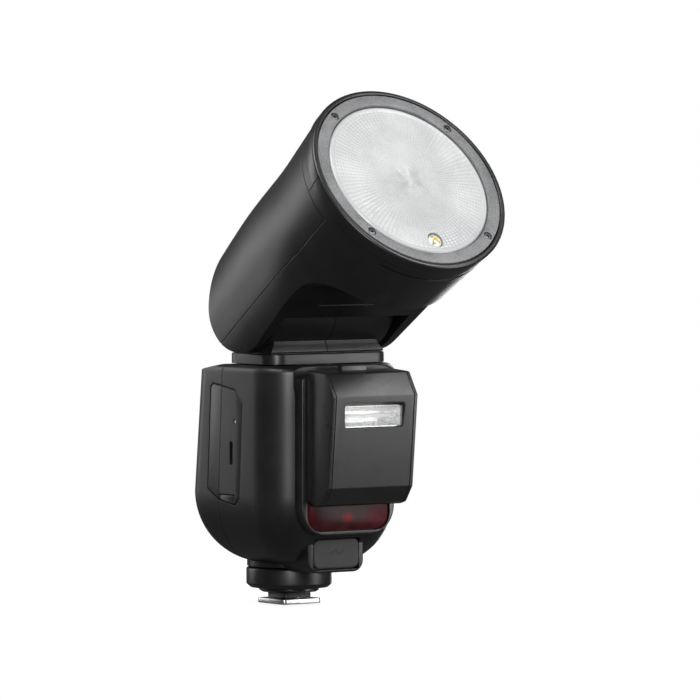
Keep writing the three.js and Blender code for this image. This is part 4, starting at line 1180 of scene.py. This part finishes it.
# ---- rear panel ----
def make_display():
    """A dark window with a plain lit scale, a level bar and two blank fields."""
    low, high = span("screen_window", PANEL)
    pane = softened(front_of(low, high, 1.5), "y", low.y, high.y, 0.3)
    show("display_pane", pane, PANEL, GLOSS, "screen_window")
    face = high.y
    marks = []

    def field(x0, x1, z0, z1):
        marks.append(softened(rectangle(x0, x1, z0, z1, 0.3), "y", face - 0.1, face + 0.04, 0.03, 1))

    left, right, top, bottom = low.x + 4, high.x - 4, high.z - 4, low.z + 4
    for i in range(17):
        x = left + 0.6 + (right - left - 1.2) * i / 16
        field(x - 0.15, x + 0.15, bottom + 3.4, bottom + (5.2 if i % 4 == 0 else 4.4))
    field(left + 0.4, left + 0.55 * (right - left), bottom + 1.2, bottom + 2.4)
    field(left, right, top - 0.3, top)
    field(left, right, bottom, bottom + 0.3)
    field(left + 2, left + 11, top - 7.5, top - 2.5)
    field(right - 11, right - 2, top - 7.5, top - 2.5)
    show("display_marks", join(*marks), PANEL, DISPLAY, "screen_window", stands=False)


def make_keys():
    for index in range(4):
        node = f"soft_key_{index + 1}"
        low, high = span(node, PANEL)
        cap = softened(front_of(low, high, 1), "y", low.y, high.y, 0.45, 4)
        x, z = middle_of(low, high)
        groove = block((x - 1.2, x + 1.2), (high.y - 0.15, high.y + 1), (z - 0.18, z + 0.18))
        show(f"soft_cap_{index + 1}", cut(cap, groove), PANEL, RUBBER, node)
    for node, sides in (("mode_button", 4), ("test_button", 3)):
        low, high = span(node, PANEL)
        radius = (high.x - low.x) / 2
        x, z = middle_of(low, high)
        cap = softened(circle(radius, x, z, 48), "y", low.y, high.y, 0.5, 4)
        ring = cut(
            prism(circle(1.5, x, z, sides), "y", high.y - 0.15, 5),
            prism(circle(1.15, x, z, sides), "y", -5, 9),
        )
        show(node + "_cap", cut(cap, ring), PANEL, RUBBER, node)
    low, high = span("set_button", PANEL)
    cap = softened(circle(high.x, sides=64), "y", low.y, high.y, 0.6, 4)
    hollow = [(0.01, high.y - 0.3), (1.4, high.y - 0.24), (2.6, high.y + 0.02), (2.6, 9), (0.01, 9)]
    dish = turned(hollow, "y", sides=48)
    show("set_cap", cut(cap, dish), PANEL, RUBBER, "set_button")


def make_dial():
    low, high = span("control_dial", PANEL)
    radius, hub = high.x, 4.7
    knurl = []
    for i in range(60):
        for part, reach in ((0.12, radius), (0.5, radius), (0.62, radius - 0.35), (0.98, radius - 0.35)):
            angle = 2 * pi * (i + part) / 60
            knurl.append((reach * cos(angle), reach * sin(angle)))
    top = high.y
    profile = [(hub, low.y), (radius, low.y), (radius, top - 0.5), (radius - 0.5, top)]
    profile += [(8.9, top), (8.3, top - 0.5), (5.7, top - 0.5), (5.2, top), (hub, top)]
    profile = rounded(profile, [0, 0, 0.2, 0.3, 0.3, 0.4, 0.4, 0.2, 0.2], 4)
    dial = common(prism(knurl, "y", low.y, top), turned(profile, "y"))
    show("dial_wheel", dial, PANEL, SATIN, "control_dial")
    low, high = span("power_switch", PANEL)
    knob = softened(front_of(low, high, 0.6), "y", low.y, high.y, 0.3)
    ribs = [block((x - 0.2, x + 0.2), (high.y - 0.35, 5), (low.z + 0.5, high.z - 0.5))
            for x in (low.x + 1.1, (low.x + high.x) / 2, high.x - 1.1)]
    show("switch_knob", cut(knob, *ribs), PANEL, SATIN, "power_switch")


# ---- every piece, head first ----
make_head_shells()
make_rim()
make_bezel()
make_lens()
make_lamp()
make_hinge()
make_body()
make_battery()
make_front()
make_flap()
make_small_flash()
make_lock()
make_foot()
make_sockets()
make_unit_window()
make_display()
make_keys()
make_dial()


# ---- CAD nodes that are shown as they are ----
FINISHES = {
    "shell": BLACK, "satin": SATIN, "gloss": GLOSS, "rubber": RUBBER, "red": RED, "lens": CLEAR,
    "mirror": REFLECTOR, "steel": STEEL, "dark_steel": DARK_STEEL, "brass": GOLD, "board": BOARD,
}
for name, node in frame["nodes"].items():
    if node.hide_render:
        continue
    node.data.materials.clear()
    node.data.materials.append(FINISHES[slots[name]])

# ---- camera, light and floor ----
CAMERA_AZIMUTH = radians(-36.08)
CAMERA_ELEVATION = radians(2.3)
CAMERA_DISTANCE = 2.549
CAMERA_AIM = Vector((0.0215, -0.01077, 0.09855))
CAMERA_LENS = 335.6
LIGHT_AIM = Vector((0, 0, 0.12))


def make_camera():
    a, e = CAMERA_AZIMUTH, CAMERA_ELEVATION
    back = Vector((sin(a) * cos(e), -cos(a) * cos(e), sin(e)))
    data = bpy.data.cameras.new("camera")
    data.lens = CAMERA_LENS
    data.sensor_width = 36
    data.clip_end = 50
    camera = placed("camera", data)
    camera.location = CAMERA_AIM + back * CAMERA_DISTANCE
    camera.rotation_mode = "QUATERNION"
    camera.rotation_quaternion = (-back).to_track_quat("-Z", "Y")
    bpy.context.scene.camera = camera


def softbox(name, place, width, height, power):
    """A rectangular lamp that faces the middle of the flash."""
    data = bpy.data.lights.new(name, "AREA")
    data.shape = "RECTANGLE"
    data.size = width
    data.size_y = height
    data.energy = power
    lamp = placed(name, data)
    lamp.location = Vector(place)
    lamp.rotation_mode = "QUATERNION"
    lamp.rotation_quaternion = (Vector(place) - LIGHT_AIM).to_track_quat("Z", "Y")


def make_studio():
    world = bpy.data.worlds.new("studio")
    world.use_nodes = True
    tree = world.node_tree
    seen = tree.nodes.new("ShaderNodeLightPath").outputs["Is Camera Ray"]
    strength = tree.nodes.new("ShaderNodeMapRange")
    strength.inputs["To Min"].default_value = 0.11
    strength.inputs["To Max"].default_value = 1.0
    tree.links.new(seen, strength.inputs["Value"])
    background = tree.nodes["Background"]
    background.inputs["Color"].default_value = (1, 1, 1, 1)
    tree.links.new(strength.outputs["Result"], background.inputs["Strength"])
    bpy.context.scene.world = world
    bpy.context.scene.view_settings.view_transform = "Standard"
    softbox("right_box", (0.95, -1.1, 0.2), 0.4, 0.8, 7.5)
    softbox("high_box", (0.6, -0.75, 0.95), 0.4, 0.4, 6)
    softbox("low_strip", (0.95, 0.75, 0.12), 0.3, 0.7, 3.7)
    softbox("camera_strip", (-0.85, -1.4, 0.5), 0.1, 0.9, 16)
    softbox("rear_box", (-0.5, 1.1, 0.4), 0.4, 0.9, 3.6)
    softbox("top_box", (-0.45, -0.1, 1.15), 0.6, 0.6, 10)


def make_floor():
    """A pale paper floor that fades out round the flash."""
    look = Shader("paper")
    fibre = look.noise(0.002)
    paper = look.blend(look.ranged(fibre, 0, 1), (0.36, 0.36, 0.36), (0.4, 0.4, 0.4))
    look.set(Base_Color=paper, Roughness=0.9)
    look.set(Normal=look.relief(fibre, 0.00001))
    seen = look.node("LightPath").outputs["Is Camera Ray"]
    look.set(Emission_Color=(1, 1, 1, 1), Emission_Strength=look.ranged(seen, 0.0, 0.84, 0, 1))
    away = look.vector("LENGTH", look.place, output="Value")
    look.set(Alpha=look.ranged(away, 0.9, 0, 0.05, 0.5))
    radius = 0.55
    mesh = bpy.data.meshes.new("floor")
    rim = [(radius * cos(t), radius * sin(t), cad_box[0].z) for t in arc(0, 2 * pi, 96)[:-1]]
    mesh.from_pydata(rim, [], [tuple(range(len(rim)))])
    mesh.materials.append(look.material)
    floor = placed("floor", mesh)
    floor.visible_diffuse = False
    floor.visible_glossy = False


make_camera()
make_studio()
make_floor()

for shape in scraps:
    bpy.data.objects.remove(shape)
